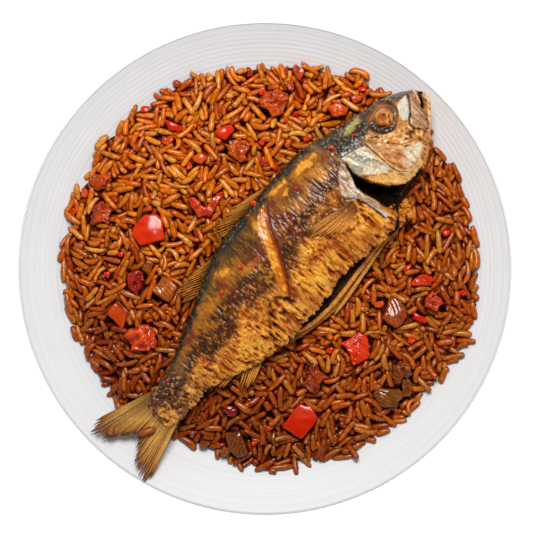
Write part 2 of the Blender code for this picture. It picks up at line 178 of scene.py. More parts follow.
def mottle(x, y, seed):
    """Smooth random values from 0 to 1, with about one bump to each unit of x and y."""
    column, row = np.floor(x), np.floor(y)
    fx, fy = x - column, y - row
    fx, fy = fx * fx * (3 - 2 * fx), fy * fy * (3 - 2 * fy)

    def corner(a, b):
        value = np.sin((column + a) * 127.1 + (row + b) * 311.7 + seed * 74.7) * 43758.5453
        return value - np.floor(value)

    near = corner(0, 0) * (1 - fx) + corner(1, 0) * fx
    far = corner(0, 1) * (1 - fx) + corner(1, 1) * fx
    return near * (1 - fy) + far * fy


def surface_grain_group():
    """A node group that gives uneven colour and a fine bump at a stated size, for every finish here."""
    group = bpy.data.node_groups.new("surface_grain", "ShaderNodeTree")
    face = group.interface
    for name, kind, value in (
        ("Color", "NodeSocketColor", (0.5, 0.5, 0.5, 1)),
        ("Vector", "NodeSocketVector", (0, 0, 0)),
        ("Size", "NodeSocketFloat", 100.0),
        ("Unevenness", "NodeSocketFloat", 0.2),
        ("Bump", "NodeSocketFloat", 0.3),
        ("Depth", "NodeSocketFloat", 0.0002),
        ("Smoothest", "NodeSocketFloat", 0.25),
        ("Roughest", "NodeSocketFloat", 0.45),
    ):
        socket = face.new_socket(name=name, in_out="INPUT", socket_type=kind)
        socket.default_value = value
    face.new_socket(name="Color", in_out="OUTPUT", socket_type="NodeSocketColor")
    face.new_socket(name="Roughness", in_out="OUTPUT", socket_type="NodeSocketFloat")
    face.new_socket(name="Normal", in_out="OUTPUT", socket_type="NodeSocketVector")
    given = group.nodes.new("NodeGroupInput").outputs
    noise = add_node(group, "ShaderNodeTexNoise",
                     {"Detail": 3, "Vector": given["Vector"], "Scale": given["Size"]})
    level = noise.outputs["Fac"]
    # brightness from 1 - unevenness to 1 + unevenness
    low = add_node(group, "ShaderNodeMath", {0: 1, 1: given["Unevenness"]}, "SUBTRACT")
    high = add_node(group, "ShaderNodeMath", {0: 1, 1: given["Unevenness"]}, "ADD")
    spread = add_node(group, "ShaderNodeMapRange", {
        "From Min": 0.3, "From Max": 0.7, "Value": level, "To Min": low.outputs[0], "To Max": high.outputs[0],
    })
    shade = add_node(group, "ShaderNodeVectorMath", {0: given["Color"], "Scale": spread.outputs["Result"]},
                     "SCALE")
    gloss = add_node(group, "ShaderNodeMapRange", {
        "From Min": 0.35, "From Max": 0.65, "Value": level, "To Min": given["Smoothest"],
        "To Max": given["Roughest"],
    })
    bump = add_node(
        group, "ShaderNodeBump", {"Strength": given["Bump"], "Distance": given["Depth"], "Height": level}
    )
    add_node(group, "NodeGroupOutput", {
        "Color": shade.outputs["Vector"], "Roughness": gloss.outputs["Result"],
        "Normal": bump.outputs["Normal"],
    })
    return group


surface_grain = surface_grain_group()


def finish_with_grain(material, colour=None, stretch=None, **values):
    """Puts the uneven surface on a material, over one colour or, with none, over the colours painted on the mesh.

    stretch is (turn in the plate's plane, scale along that way), for a grain that is longer one way.
    """
    tree = material.node_tree
    place = add_node(tree, "ShaderNodeTexCoord", {}).outputs["Object"]
    if stretch:
        turned = add_node(tree, "ShaderNodeMapping", {"Vector": place})
        turned.vector_type = "TEXTURE"
        turned.inputs["Rotation"].default_value = (0, 0, stretch[0])
        turned.inputs["Scale"].default_value = (1, stretch[1], 1)
        place = turned.outputs["Vector"]
    grain = tree.nodes.new("ShaderNodeGroup")
    grain.node_tree = surface_grain
    tree.links.new(place, grain.inputs["Vector"])
    if colour:
        grain.inputs["Color"].default_value = (*colour, 1)
    else:
        painted = add_node(tree, "ShaderNodeAttribute", {})
        painted.attribute_name = "paint"
        tree.links.new(painted.outputs["Color"], grain.inputs["Color"])
    for key, value in values.items():
        grain.inputs[key.capitalize()].default_value = value
    shader = tree.nodes["Principled BSDF"]
    for put_out, taken in (("Color", "Base Color"), ("Roughness", "Roughness"), ("Normal", "Normal")):
        tree.links.new(grain.outputs[put_out], shader.inputs[taken])
    return material


def plate_profile():
    """The plate's section from the middle of its upper side over the lip to the middle of its underside."""
    inner = PLATE_RADIUS - 1.6 * MM
    radii = np.arange(0, inner, RING_PITCH / RING_STEPS)
    drift = 0.8 * mottle(radii / (9 * MM), radii * 0, 6)
    deep = (0.25 + 0.9 * mottle(radii / (6 * MM), radii * 0, 7)) * np.clip((inner - radii) / (4 * MM), 0, 1)
    rings = RING_DEPTH * np.cos(math.tau * (radii / RING_PITCH + drift)) * deep
    upper = [(r, z) for r, z in zip(radii, plate_surface(radii) + rings - RING_DEPTH)]
    lip = []
    for k in range(9):
        turn = math.pi * (0.5 - k / 8)
        out, up = LIP_ROUND * math.cos(turn), LIP_ROUND * math.sin(turn)
        lip.append((PLATE_RADIUS - LIP_ROUND + out, PLATE_HEIGHT - 1.7 * MM + up))
    under_radii = np.linspace(PLATE_RADIUS - 3 * MM, FOOT_OUTER + 3 * MM, 14)
    walls = PLATE_WALL * (1 - 0.25 * (under_radii - WELL_RADIUS) / (PLATE_RADIUS - WELL_RADIUS))
    under = [(r, z) for r, z in zip(under_radii, plate_surface(under_radii) - walls)]
    floor = WELL_HEIGHT - PLATE_WALL
    foot = [(FOOT_OUTER + 0.8 * MM, FOOT_HEIGHT), (FOOT_OUTER, FOOT_ROUND), (FOOT_OUTER - FOOT_ROUND, 0)]
    foot += [(FOOT_INNER + FOOT_ROUND, 0), (FOOT_INNER, FOOT_ROUND), (FOOT_INNER - 1 * MM, floor), (0, floor)]
    return upper + lip + under + foot


def turn_plate():
    """The plate, spun from its section."""
    profile = plate_profile()
    mesh = bpy.data.meshes.new("turned_plate")
    mesh.from_pydata([(r, 0, z) for r, z in profile], [(k, k + 1) for k in range(len(profile) - 1)], [])
    plate = bpy.data.objects.new("turned_plate", mesh)
    bpy.context.scene.collection.objects.link(plate)
    bpy.context.view_layer.objects.active = plate
    plate.select_set(True)
    bpy.ops.object.mode_set(mode="EDIT")
    bpy.ops.mesh.select_all(action="SELECT")
    bpy.ops.mesh.spin(steps=PLATE_TURNS, angle=math.tau, center=(0, 0, 0), axis=(0, 0, 1))
    bpy.ops.mesh.select_all(action="SELECT")
    bpy.ops.mesh.remove_doubles(threshold=0.00001)
    bpy.ops.mesh.normals_make_consistent(inside=False)
    bpy.ops.object.mode_set(mode="OBJECT")
    bpy.ops.object.shade_smooth_by_angle(angle=math.radians(40))
    plate.select_set(False)
    return plate


def points_of(piece):
    """The places of a piece's points."""
    place = np.empty(len(piece.data.vertices) * 3)
    piece.data.vertices.foreach_get("co", place)
    return place.reshape(-1, 3)


def paint_points(mesh, colours):
    """Stores one colour at each point of a mesh, for its material to read."""
    layer = mesh.color_attributes.new("paint", "FLOAT_COLOR", "POINT")
    rgba = np.concatenate([colours, np.ones((len(colours), 1))], axis=1)
    layer.data.foreach_set("color", rgba.ravel())


def grey_glaze_rings(plate):
    """Paints the glaze a little greyer in fine uneven rings round the plate."""
    points = points_of(plate)
    radius = np.hypot(points[:, 0], points[:, 1])
    fine = mottle(radius / (1.1 * MM), radius * 0, 8)
    broad = mottle(radius / (5 * MM), radius * 0, 9)
    paint_points(plate.data, np.array(tone(236, 236, 236)) * (1 - 0.1 * (fine - 0.3) * broad)[:, None])


plate = turn_plate()
grey_glaze_rings(plate)
white_glaze = finish_with_grain(
    principled("white_glaze", specular_ior_level=0.25), size=60.0, unevenness=0.012, bump=0.15, depth=0.0001,
    smoothest=0.42, roughest=0.5,
)
plate.data.materials.append(white_glaze)
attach(plate, "root")
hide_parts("plate")

# ---- the fish -----------------------------------------------------------------------------------------------------
# One sea fish, gutted along the belly, scored once across the flank and fried whole until its skin is crisp. It lies
# on its side on the rice, its belly open and its gill cover lifted, with the fins dried out and frayed by the oil.
FISH_TURN = math.radians(48.5)
FISH_PLACE = (-48.5, -68.5)  # the narrowest point of the tail stalk, in millimetres as all of the fish's own sizes
# Rows are (distance from the tail stalk towards the snout, value). Across, plus is the back.
BACK = ((-17, 10.5), (-9, 10.8), (3, 10.6), (14, 13.8), (34, 21.1), (51, 27.8), (69, 34.4), (88, 37.1),
        (114, 37.9), (144, 36.8), (162, 31.2), (181, 26), (199, 19.9), (208, 13.9), (212, 8.5))
UPPER_BELLY = ((-17, -9), (-9, -10.4), (5, -10.9), (14, -11.2), (25, -14.5), (40, -21), (58, -25.5),
               (75, -28),
               (95, -28), (114, -26.3), (135, -27.8), (147, -28.2), (157, -22), (166, -20.2), (178, -19),
               (190, -14.4), (203, -3.9), (212, 4))
LOWER_BELLY = ((-17, -9), (-9, -10.4), (5, -10.9), (14, -11.2), (25, -14.5), (40, -21), (58, -26.5),
               (68, -30.4),
               (82, -33.6), (95, -35.1), (112, -33.3), (134, -31), (147, -31.5), (157, -23.5), (166, -21),
               (178, -19.4), (190, -14.8), (203, -4.2), (212, 4))
HALF_THICKNESS = ((-17, 0.4), (-9, 2.2), (3, 4.8), (30, 8.5), (60, 12.5), (100, 15.5), (140, 16), (165, 15.5),
                  (185, 13), (200, 9), (209, 5), (212, 3))
MIDDLE_HEIGHT = ((-50, 25.6), (-28, 26), (-9, 27.6), (3, 29), (30, 31.5), (60, 34), (100, 36), (165, 36.5),
                 (185, 36), (212, 34.5))
BELLY_EDGE = ((-17, 0), (-9, 0.3), (20, 0.8), (50, 2.2), (64, 5), (140, 5.4), (152, 3), (180, 2.2),
              (212, 0.6))
BELLY_HOLLOW = ((-17, 0.2), (52, 0.4), (66, 9), (85, 17), (112, 20), (132, 16), (143, 7), (149, 0.6),
                (212, 0.2))


def reading(table, at):
    """The values at places along a table of (place, value), on a smooth curve through its rows."""
    places, values = np.array(table, float).T
    at = np.clip(at, places[0], places[-1])
    slopes = np.empty(len(places))
    slopes[1:-1] = (values[2:] - values[:-2]) / (places[2:] - places[:-2])
    slopes[0] = (values[1] - values[0]) / (places[1] - places[0])
    slopes[-1] = (values[-1] - values[-2]) / (places[-1] - places[-2])
    i = np.clip(np.searchsorted(places, at, side="right") - 1, 0, len(places) - 2)
    width, rise = places[i + 1] - places[i], values[i + 1] - values[i]
    t = (at - places[i]) / width
    a, b = slopes[i] * width - rise, rise - slopes[i + 1] * width
    return values[i] + t * rise + t * (1 - t) * (a * (1 - t) + b * t)


def smooth_step(low, high, value):
    """From 0 at low to 1 at high, with level ends. It falls instead where low is the larger of the two."""
    t = np.clip((value - low) / (high - low), 0, 1)
    return t * t * (3 - 2 * t)


def side_height(s, v, belly_table):
    """How far the flank stands out from the fish's middle plane."""
    back, belly = reading(BACK, s), reading(belly_table, s)
    across = np.clip((2 * v - back - belly) / (back - belly), -1, 1)
    up = np.sqrt(1 - across * across)
    edge = reading(BELLY_EDGE, s) * (1 - across) / 2 * (1 - 0.5 * up)
    return reading(HALF_THICKNESS, s) * up**0.85 * (1 + 0.16 * across) + edge


def fish_top(s, v):
    """Height of the fish's upper side, in millimetres."""
    return reading(MIDDLE_HEIGHT, s) + side_height(s, v, UPPER_BELLY)


def fish_underside(s, v):
    """Height of the side that it lies on, in millimetres."""
    return reading(MIDDLE_HEIGHT, s) - side_height(s, v, LOWER_BELLY)


def to_plate(s, v, z):
    """Points of the fish, in its own millimetres, as points over the plate in metres."""
    c, d = math.cos(FISH_TURN), math.sin(FISH_TURN)
    return np.stack([(FISH_PLACE[0] + s * c - v * d) * MM, (FISH_PLACE[1] + s * d + v * c) * MM, z * MM],
                    axis=-1)


def to_fish(x, y):
    """Points over the plate, in metres, as (along, across) on the fish in millimetres."""
    c, d = math.cos(FISH_TURN), math.sin(FISH_TURN)
    east, north = x / MM - FISH_PLACE[0], y / MM - FISH_PLACE[1]
    return east * c + north * d, north * c - east * d


def path_distance(s, v, path, closed=False):
    """Distance to a line through these points, and for a closed one less than 0 inside it."""
    ends = list(zip(path, path[1:] + path[:1] if closed else path[1:]))
    best = np.full(np.shape(s), 1e9)
    inside = np.zeros(np.shape(s), bool)
    for (s0, v0), (s1, v1) in ends:
        ds, dv = s1 - s0, v1 - v0
        t = np.clip(((s - s0) * ds + (v - v0) * dv) / (ds * ds + dv * dv), 0, 1)
        best = np.minimum(best, np.hypot(s - s0 - t * ds, v - v0 - t * dv))
        if closed:
            crosses = (v0 > v) != (v1 > v)
            inside ^= crosses & (s < s0 + (v - v0) / (dv if dv else 1e-9) * ds)
    return np.where(inside, -best, best) if closed else best


def creases(x, y, seed):
    """Creased values from 0 to 1, with no grid to be seen: narrow light ridges between wider hollows."""
    bent_x = x + 0.9 * mottle(x * 0.6 + 5, y * 0.6, seed) + 0.31 * y
    bent_y = y + 0.9 * mottle(x * 0.6, y * 0.6 + 5, seed + 1) - 0.31 * x
    first = 1 - np.abs(2 * mottle(bent_x, bent_y, seed + 2) - 1)
    second = 1 - np.abs(2 * mottle(bent_x * 1.9 + 7, bent_y * 1.9, seed + 3) - 1)
    return 0.65 * first + 0.35 * second


class Skin:
    """The relief and the colours of one flank, worked up together over its points (s, v).

    girth is the distance round the body, for patterns that must not be drawn out down the steep back and belly.
    """

    def __init__(self, s, v, girth):
        self.s, self.v, self.girth = s, v, girth
        self.lift = np.zeros(s.shape)
        self.colour = np.zeros((*s.shape, 3))

    def tint(self, colour, share):
        """Moves the colour of each point towards this one by its share."""
        self.colour += (np.array(tone(*colour)) - self.colour) * np.clip(share, 0, 1)[..., None]

    def patch(self, outline, colour, lift=0.0, soft=0.8, ragged=0.0, share=1.0):
        """A plate of bone or an area of skin inside an outline, standing proud or sunk."""
        away = path_distance(self.s, self.v, outline, closed=True)
        if ragged:
            away = away + ragged * (mottle(self.s / 1.3, self.v / 1.3, 3) - 0.5) * 2
        inside = smooth_step(soft / 2, -soft / 2, away)
        self.lift += lift * inside
        if colour:
            self.tint(colour, inside * share)
        return inside

    def stroke(self, path, width, colour=None, lift=0.0, share=1.0):
        """A ridge or a groove along a line."""
        near = smooth_step(width / 2, 0, path_distance(self.s, self.v, path))
        self.lift += lift * near
        if colour:
            self.tint(colour, near * share)
        return near


# The outlines of the head's bones and of the marks on the skin are (along, across) in millimetres.
GOLD_PATCHES = (
    ((134, 33), (142, 33), (151, 30.5), (148.5, 28), (141, 26.5), (133, 27), (131.5, 29.5)),
    ((113, 34), (119.5, 34.5), (126.5, 33), (125.5, 29), (120, 25.5), (114.5, 29)),
    ((62, 28), (69.5, 25.5), (70.5, 22.5), (64, 21), (59.5, 25)),
    ((43, 22), (49, 20), (48, 16.5), (41.5, 18.5)),
    ((98, 34), (101, 33), (96, 22), (93, 23)),
)
SCORE_TAIL_SIDE = ((-13.5, 76.5), (-5, 80), (2.5, 83.8), (10, 88.4), (18, 92.6), (27, 98), (33, 104.5))
SCORE_HEAD_SIDE = ((-13.5, 78.5), (-8.5, 83.5), (-2, 88.5), (6, 93.5), (14, 98), (22.5, 102.5), (27.5, 106.5),
                   (33, 111))
GILL_CAVITY = ((154.5, 14), (151.5, 7), (148.8, 1.5), (148.8, -4.5), (150.5, -11.5), (151, -17), (153, -24),
               (163, -24), (168, -19.5), (176, -18.6), (168, -17.6), (161, -12.5), (155.5, -3), (153.4, 3.5),
               (153, 9.5))
EYE = (186.3, 14.6)
EYE_SIZE = (5.8, 5.2, 4.0)  # half-sizes


def paint_trunk(skin):
    """Fried skin: greenish black along the back, brown on the flank, crisp and golden at the belly."""
    s, v = skin.s, skin.girth
    back, belly = reading(BACK, s), reading(UPPER_BELLY, s)
    high = np.clip((skin.v - belly) / (back - belly), 0, 1)
    drift = (mottle(s / 11, v / 9, 1) - 0.5) * 0.24 + (mottle(s / 4, v / 4, 2) - 0.5) * 0.12
    zone = high + drift
    streak = creases(s / 1.2, v / 4.8, 5)
    fine = mottle(s / 0.7 + 0.3 * v, v / 1.5 - 0.2 * s, 6)
    lumps = creases(s / 3.1, v / 3.4, 7)
    zone = zone + (streak - 0.5) * 0.16
    crisp = smooth_step(0.54, 0.36, zone)
    skin.tint((200, 106, 16), np.ones(s.shape))
    skin.tint((128, 70, 22), smooth_step(0.36, 0.5, zone))
    skin.tint((64, 32, 14), smooth_step(0.42, 0.54, zone) * smooth_step(0.78, 0.62, zone) * 0.85)
    skin.tint((166, 108, 30), smooth_step(0.66, 0.8, zone) * 0.9)
    skin.tint((112, 44, 20),
              smooth_step(0.44, 0.62, mottle(s / 9 + 3, v / 7, 15)) * smooth_step(0.45, 0.6, zone) * 0.85)
    skin.tint((206, 142, 44),
              smooth_step(0.58, 0.8, mottle(s / 7 + 9, v / 5, 18)) * smooth_step(0.62, 0.74, zone) * 0.7)
    skin.tint((60, 48, 18), smooth_step(0.84, 0.92, zone) * 0.8)
    # crust at the belly: painted highlights on the bright crests, painted shade in the dark hollows
    clumps = creases(s / 2.4 + 3, v / 6.5, 21)
    relief = np.clip(0.5 + 3.4 * (0.34 * streak + 0.26 * lumps + 0.24 * clumps + 0.16 * fine - 0.52), 0, 1)
    skin.tint((246, 164, 44), smooth_step(0.6, 0.9, relief) * crisp * 0.85)
    skin.tint((255, 192, 82), smooth_step(0.86, 1.0, relief) * crisp * 0.5)
    skin.tint((104, 28, 0), smooth_step(0.54, 0.34, relief) * crisp * 0.95)
    skin.tint((28, 8, 2), smooth_step(0.26, 0.06, relief) * crisp * 0.95)
    skin.tint((176, 78, 8), smooth_step(0.42, 0.66, mottle(s / 6, v / 5, 19)) * crisp * 0.55)
    # the sunk cracks are painted dark: painted shade
    crack = smooth_step(0.34, 0.2, creases(s / 1.7 + 2, v / 2.6, 22)) * crisp
    skin.tint((62, 16, 0), crack * 0.85)
    skin.lift += crisp * ((relief - 0.5) * 2.4 + (lumps - 0.5) * 1.1) - 0.7 * crack
    # scales on the flank: short dashes across the fish; the dark in their hollows is painted shade and the light on
    # their raised edges is painted highlight
    row = np.floor(v / 1.9)
    cell = np.mod(s / 2.5 + 0.5 * np.mod(row, 2) + 0.35 * mottle(s / 3, v / 3, 9), 1)
    scale = smooth_step(0, 0.25, cell) * smooth_step(1, 0.6, cell)
    flank = 1 - crisp
    rough = 0.35 + 0.65 * smooth_step(0.8, 0.55, zone)
    patchy = 0.3 + 0.7 * smooth_step(0.35, 0.65, mottle(s / 12, v / 8 + 4, 10))
    skin.lift += flank * ((scale - 0.5) * 0.16 * patchy + (streak - 0.5) * 1.3 * rough)
    skin.tint((26, 11, 5), flank * rough * smooth_step(0.5, 0.26, 0.8 * streak + 0.2 * scale) * 0.95)
    skin.tint((214, 150, 74), flank * rough * smooth_step(0.64, 0.86, 0.65 * streak + 0.35 * fine) * 0.85)
    skin.colour *= 1 - flank[..., None] * np.array((0, 0.14, 0.4))
    # the dark ridge of the back, with grey scales
    ridge = smooth_step(0.9, 0.955, high + (mottle(s / 3, v / 3, 12) - 0.5) * 0.05) * smooth_step(2, 14, s)
    skin.tint((28, 26, 14), ridge)
    skin.tint((104, 100, 72), ridge * smooth_step(0.66, 0.84, mottle(s / 1.1, v / 1.1, 13)) * 0.8)
    # the tail stalk
    stalk = smooth_step(22, 4, s)
    skin.tint((70, 54, 34), stalk * smooth_step(0.4, 0.65, zone) * 0.9)
    skin.tint((206, 142, 56), stalk * smooth_step(0.5, 0.3, zone) * 0.5)
    skin.tint((104, 48, 22), stalk * smooth_step(0.5, 0.7, mottle(s / 2.2, v / 2.2, 14)) * 0.8)
    skin.tint((178, 150, 120), stalk * smooth_step(0.74, 0.86, mottle(s / 0.9, v / 0.9, 16)) * 0.6)
    skin.lift += stalk * (mottle(s / 1.6, v / 1.6, 17) - 0.5) * 1.6


def paint_marks(skin):
    """Where the skin is thin or cut: golden spots, the one deep score down to the flesh and the slits near the belly,
    with painted shade in the cut and the slits.
    """
    s, v = skin.s, skin.v
    for n, outline in enumerate(GOLD_PATCHES):
        inside = skin.patch(outline, (178, 98, 22), lift=-0.25, soft=4.5, ragged=1.2, share=0.85)
        skin.tint((236, 160, 48),
                  smooth_step(0.5, 1, inside) * smooth_step(0.35, 0.6, mottle(s / 3, v / 3, 20 + n)))
    left, right = reading(SCORE_TAIL_SIDE, v), reading(SCORE_HEAD_SIDE, v)
    share = (s - left) / np.maximum(right - left, 0.5)
    within = smooth_step(-0.12, 0.12, share) * smooth_step(1.1, 0.98, share)
    within *= smooth_step(-14.5, -11.5, v) * smooth_step(33.5, 29, v)
    skin.lift -= within * (0.5 + 2.4 * np.clip(share, 0, 1) ** 1.5)
    flesh = mottle(s / 1.2, v / 3.5, 30)
    skin.tint((212, 112, 14), within)
    skin.tint((250, 182, 70), within * smooth_step(0.4, 0.7, flesh) * smooth_step(0.8, 0.4, share) * 0.85)
    # the deep side of the cut is painted dark red-brown: painted shadow under the edge of the skin
    skin.tint((122, 34, 8), within * smooth_step(0.6, 0.9, share) * 0.9)
    lip = smooth_step(0.95, 1.1, share) * smooth_step(1.5, 1.15, share) * smooth_step(-14, -10, v)
    lip *= smooth_step(33, 27, v)
    skin.lift += lip * 0.35
    # the lip of skin beside the cut is painted darker: painted shade along the cut
    skin.tint((100, 44, 34), lip * 0.5)
    # dark slits near the belly, sunk and painted nearly black: painted shade
    for outline in (
        ((75, -5), (78, -8), (81.5, -14), (80.5, -16.5), (77.5, -11.5)),
        ((70, -13), (74, -14.5), (72, -17)),
        ((88, -9), (90.5, -10), (88.5, -12)),
    ):
        skin.patch(outline, (52, 22, 10), lift=-1.2, soft=1.4, ragged=0.5)


def paint_head(skin):
    """The head's bones under thin skin, from the crown down to the jaw."""
    s, v = skin.s, skin.v
    back, belly = reading(BACK, s), reading(UPPER_BELLY, s)
    high = np.clip((v - belly) / (back - belly), 0, 1)
    on_head = smooth_step(152, 158, s + 0.35 * (v - 16))
    pore = mottle(s / 0.9, v / 0.9, 40)
    cloud = mottle(s / 4, v / 3, 41)
    skin.tint((200, 132, 58), on_head)
    crown = on_head * smooth_step(0.62, 0.76, high + 0.1 * (cloud - 0.5) - 0.0035 * (s - 165))
    skin.lift += (pore - 0.5) * 0.45 * on_head
    skin.tint((44, 36, 22), crown)
    skin.tint((132, 116, 84), crown * smooth_step(0.6, 0.85, pore) * 0.7)
    skin.lift -= crown * smooth_step(0.4, 0.2, creases(s / 2.2, v / 2.2, 49)) * 0.5
    skin.tint((98, 78, 58), on_head * smooth_step(196, 204, s) * 0.6)
    temple = on_head * smooth_step(0.45, 0.55, high) * smooth_step(0.8, 0.7, high) * smooth_step(176, 168, s)
    skin.tint((84, 76, 58), temple * 0.9)
    skin.tint((30, 22, 14), on_head * smooth_step(0.3, 0.12, creases(s / 2.6, v / 2.6, 53)) * 0.75)
    skin.patch(((164, 24.5), (171, 26.5), (178.5, 26), (175, 23), (168, 22.5)), (168, 150, 78), soft=2.2,
               ragged=0.8)
    # gill cover and its three bones
    # the gill cavity is sunk deep and painted near black: painted shade
    skin.patch(GILL_CAVITY, (14, 8, 5), lift=-15, soft=1.3)
    skin.patch(((181.5, -16.8), (178, -19.4), (170, -21.4), (162, -21), (160, -17.5), (169, -17), (174, -18)),
               (128, 88, 40), lift=-4.5, soft=1.0)
    inside = skin.patch(((154.8, 17), (159.5, 16), (164.5, 14), (168, 12), (168.5, 3), (168.5, -8),
                         (163.5, -4.5),
                         (157.5, 0.5), (153.8, 4), (153.3, 8)), (228, 210, 176), lift=1.1, soft=1.2,
                         ragged=0.25)
    streaks = mottle((s + 0.5 * v) / 1.3, (v - 0.4 * s) / 7, 42)
    skin.tint((122, 122, 104), inside * smooth_step(0.5, 0.75, streaks) * 0.75)
    skin.tint((214, 176, 118), inside * smooth_step(0.6, 0.8, mottle(s / 3, v / 3, 43)) * 0.6)
    skin.tint((240, 236, 226), inside * smooth_step(0.45, 0.25, streaks) * 0.7)
    skin.patch(((156, 0.5), (161, -2.5), (167, -7.5), (171.5, -11.5), (178, -14), (185, -14), (182, -17),
                (174, -18.6), (169, -17.4), (162.5, -13), (159, -8), (155.5, -2.5)), (230, 176, 98), lift=0.9,
                soft=0.9,
               ragged=0.4)
    # cheek
    inside = skin.patch(((172.5, 16), (175, 12.5), (181, 8.5), (186.5, 5), (191.5, 2.5), (193, -1),
                         (196, -5.5),
                         (192, -8), (186.5, -7.5), (180, -4), (175.5, 3.5), (172.5, 8), (170.5, 14)),
                         (210, 140, 60),
                        lift=0.5, soft=1.4, ragged=0.4)
    skin.tint((240, 196, 132), inside * smooth_step(0.55, 0.75, mottle(s / 1.4, v / 1.4, 44)))
    skin.tint((96, 44, 12), inside * smooth_step(0.38, 0.2, mottle(s / 1.4, v / 1.4, 44)))
    inside = skin.patch(((171, 10), (175.5, 3.5), (180.5, -3.5), (186, -6.5), (191, -8), (188, -10.8),
                         (181, -13.3),
                         (175.5, -13), (172.5, -10.5), (171.8, -7), (172.5, -2.5), (171, 1.5), (170.5, 6)),
                        (236, 218, 186), lift=1.2, soft=1.0)
    skin.tint((212, 138, 72), inside * smooth_step(181, 173, s - 0.9 * (v + 8)) * 0.9)
    skin.tint((200, 118, 58), inside * smooth_step(0.5, 0.7, mottle(s / 2, v / 4, 45)) * 0.6)
    # the raised rims of the bones are painted light, partly their golden colour and partly painted highlight; the
    # grooves beside them are painted dark as painted shade
    for path in (
        ((170, 12), (170, 6), (169.5, -1.5), (170, -8), (171.5, -11), (175.5, -14), (180, -14.3),
         (186, -12.2), (189.5, -9.6)),
        ((167.6, 12), (167.8, 2), (168.6, -8), (171, -12.4), (175, -15)),
    ):
        skin.stroke(path, 1.7, (232, 186, 120), lift=0.7)
    skin.stroke(((169, 12), (168.8, -2), (169.6, -9.5), (173, -13.2)), 1.0, (96, 56, 26), lift=-0.8)
    skin.stroke(((173, 9.5), (177, 4.5), (182, -1.8), (187, -4.8), (192, -6.4)), 0.9, (120, 66, 30),
                lift=-0.6)
    for path in (
        ((155, 4), (158, 0), (163, -4.5), (168, -8)),
        ((156, -1.5), (160, -8), (166, -15), (172, -18.2), (181, -17.4)),
        ((173, 11), (178, 7), (184, 3), (190, 0.5)), ((172, -11), (178, -13.6), (185, -13), (191, -9.5)),
    ):
        skin.stroke(path, 1.5, (222, 142, 58), lift=0.5, share=0.85)
    # snout and jaws: the pale lines along the lip and the lower jaw are painted highlights, and the dark grooves and
    # the open mouth are painted shade
    skin.patch(((195, 13), (200, 14.2), (203.5, 13.8), (201.5, 10.5), (198, 6.5), (194.5, 4.5), (192, 6),
                (193, 9)),
               (214, 204, 184), lift=0.4, soft=1.0)
    inside = skin.patch(((202.5, 12), (204.5, 11), (203, 6), (202, 0.5), (200, -3.4), (198, -5.4),
                         (195.5, -3.8),
                         (194, -1), (193.5, 2), (195, 4), (197.5, 5), (200.5, 8.5)), (196, 146, 98), lift=1.0,
                         soft=0.9)
    skin.tint((226, 208, 184),
              inside * smooth_step(-2, 3, v) * smooth_step(0.35, 0.65, mottle(s / 1.5, v / 4, 46)))
    skin.tint((118, 72, 48), inside * smooth_step(0.6, 0.75, mottle(s / 1.1, v / 5, 47)) * 0.8)
    skin.stroke(((205, 14), (201.3, 9), (198, 5.6), (195, 4), (193.3, 2), (192.8, -0.8), (195, -4)), 1.5,
                (30, 18, 12),
                lift=-1.3)
    skin.stroke(((209, 13), (208, 9.6), (206.4, 6.5), (204.6, 3)), 3.2, (176, 98, 56), lift=0.6)
    skin.stroke(((208.8, 12.4), (207.2, 8.4), (205.6, 5)), 0.8, (242, 206, 168))
    skin.patch(((213, 12.2), (210, 10.8), (208.2, 8.4), (206.4, 5.4), (204, 2.8), (205.2, 2), (207.2, 4.4),
                (209.2, 7.4), (213, 9.4)), (32, 14, 8), lift=-7, soft=0.7)
    skin.stroke(((211.4, 7.4), (210.8, 3.6), (207, 0.2), (202, -4.6), (196.5, -9.8)), 5.4, (212, 142, 66),
                lift=0.9)
    skin.stroke(((211, 6), (209.6, 3.4), (206.2, 0.2), (201.6, -4)), 1.0, (246, 206, 148))
    skin.stroke(((203, -0.6), (200.6, -4.6), (196, -7.4), (190, -8.2)), 1.2, (112, 60, 26), lift=-0.8)
    # the eye's socket: the dark on its tail side and the dark ring round the eye are painted shade
    away = np.hypot((s - EYE[0]) / 9.6, (v - EYE[1] - 0.2) / 8.2) * (0.86 + 0.28 * mottle(s / 5, v / 5, 54))
    socket = smooth_step(1.05, 0.8, away)
    skin.lift -= socket * 2.6
    skin.lift += smooth_step(1.3, 1.08, away) * smooth_step(0.9, 1.04, away) * 0.7
    skin.tint((134, 84, 44), socket)
    skin.tint((34, 22, 14), socket * smooth_step(187, 180, s + 0.6 * (v - 15) + 5 * (cloud - 0.5)) * 0.95)
    skin.tint((176, 104, 50), socket * smooth_step(16, 20, v + 4 * (cloud - 0.5)) * 0.7)
    skin.tint((30, 18, 10), smooth_step(0.5, 0.58, away) * smooth_step(0.8, 0.62, away)
              * smooth_step(0.2, 0.5, cloud) * 0.9)
    # the collar behind the gills
    inside = skin.patch(((153, 15.5), (147.5, 13.5), (143.8, 9), (140, 4.5), (141.5, -1), (144.8, -7),
                         (145.4, -13.5),
                         (146.6, -21), (148.8, -21), (149.8, -14), (148.8, -4.5), (148.4, 1), (150.8, 6),
                         (152.8, 12)),
                        (206, 180, 150), lift=0.8, soft=1.3, ragged=0.3)
    skin.tint((164, 112, 78), inside * smooth_step(0.5, 0.75, mottle(s / 1.1, v / 4, 48)) * 0.8)
    skin.tint((238, 224, 204), inside * smooth_step(0.4, 0.2, mottle(s / 1.1, v / 4, 48)) * 0.8)
    # the two dark grooves along the collar are painted shade
    skin.stroke(((143.5, -4.5), (145.6, -9), (146, -16), (146.2, -21)), 1.5, (24, 12, 8), lift=-2)
    skin.stroke(((139.5, 1.5), (143, -1.8), (144.4, -4.6)), 1.2, (30, 16, 10), lift=-1.2)


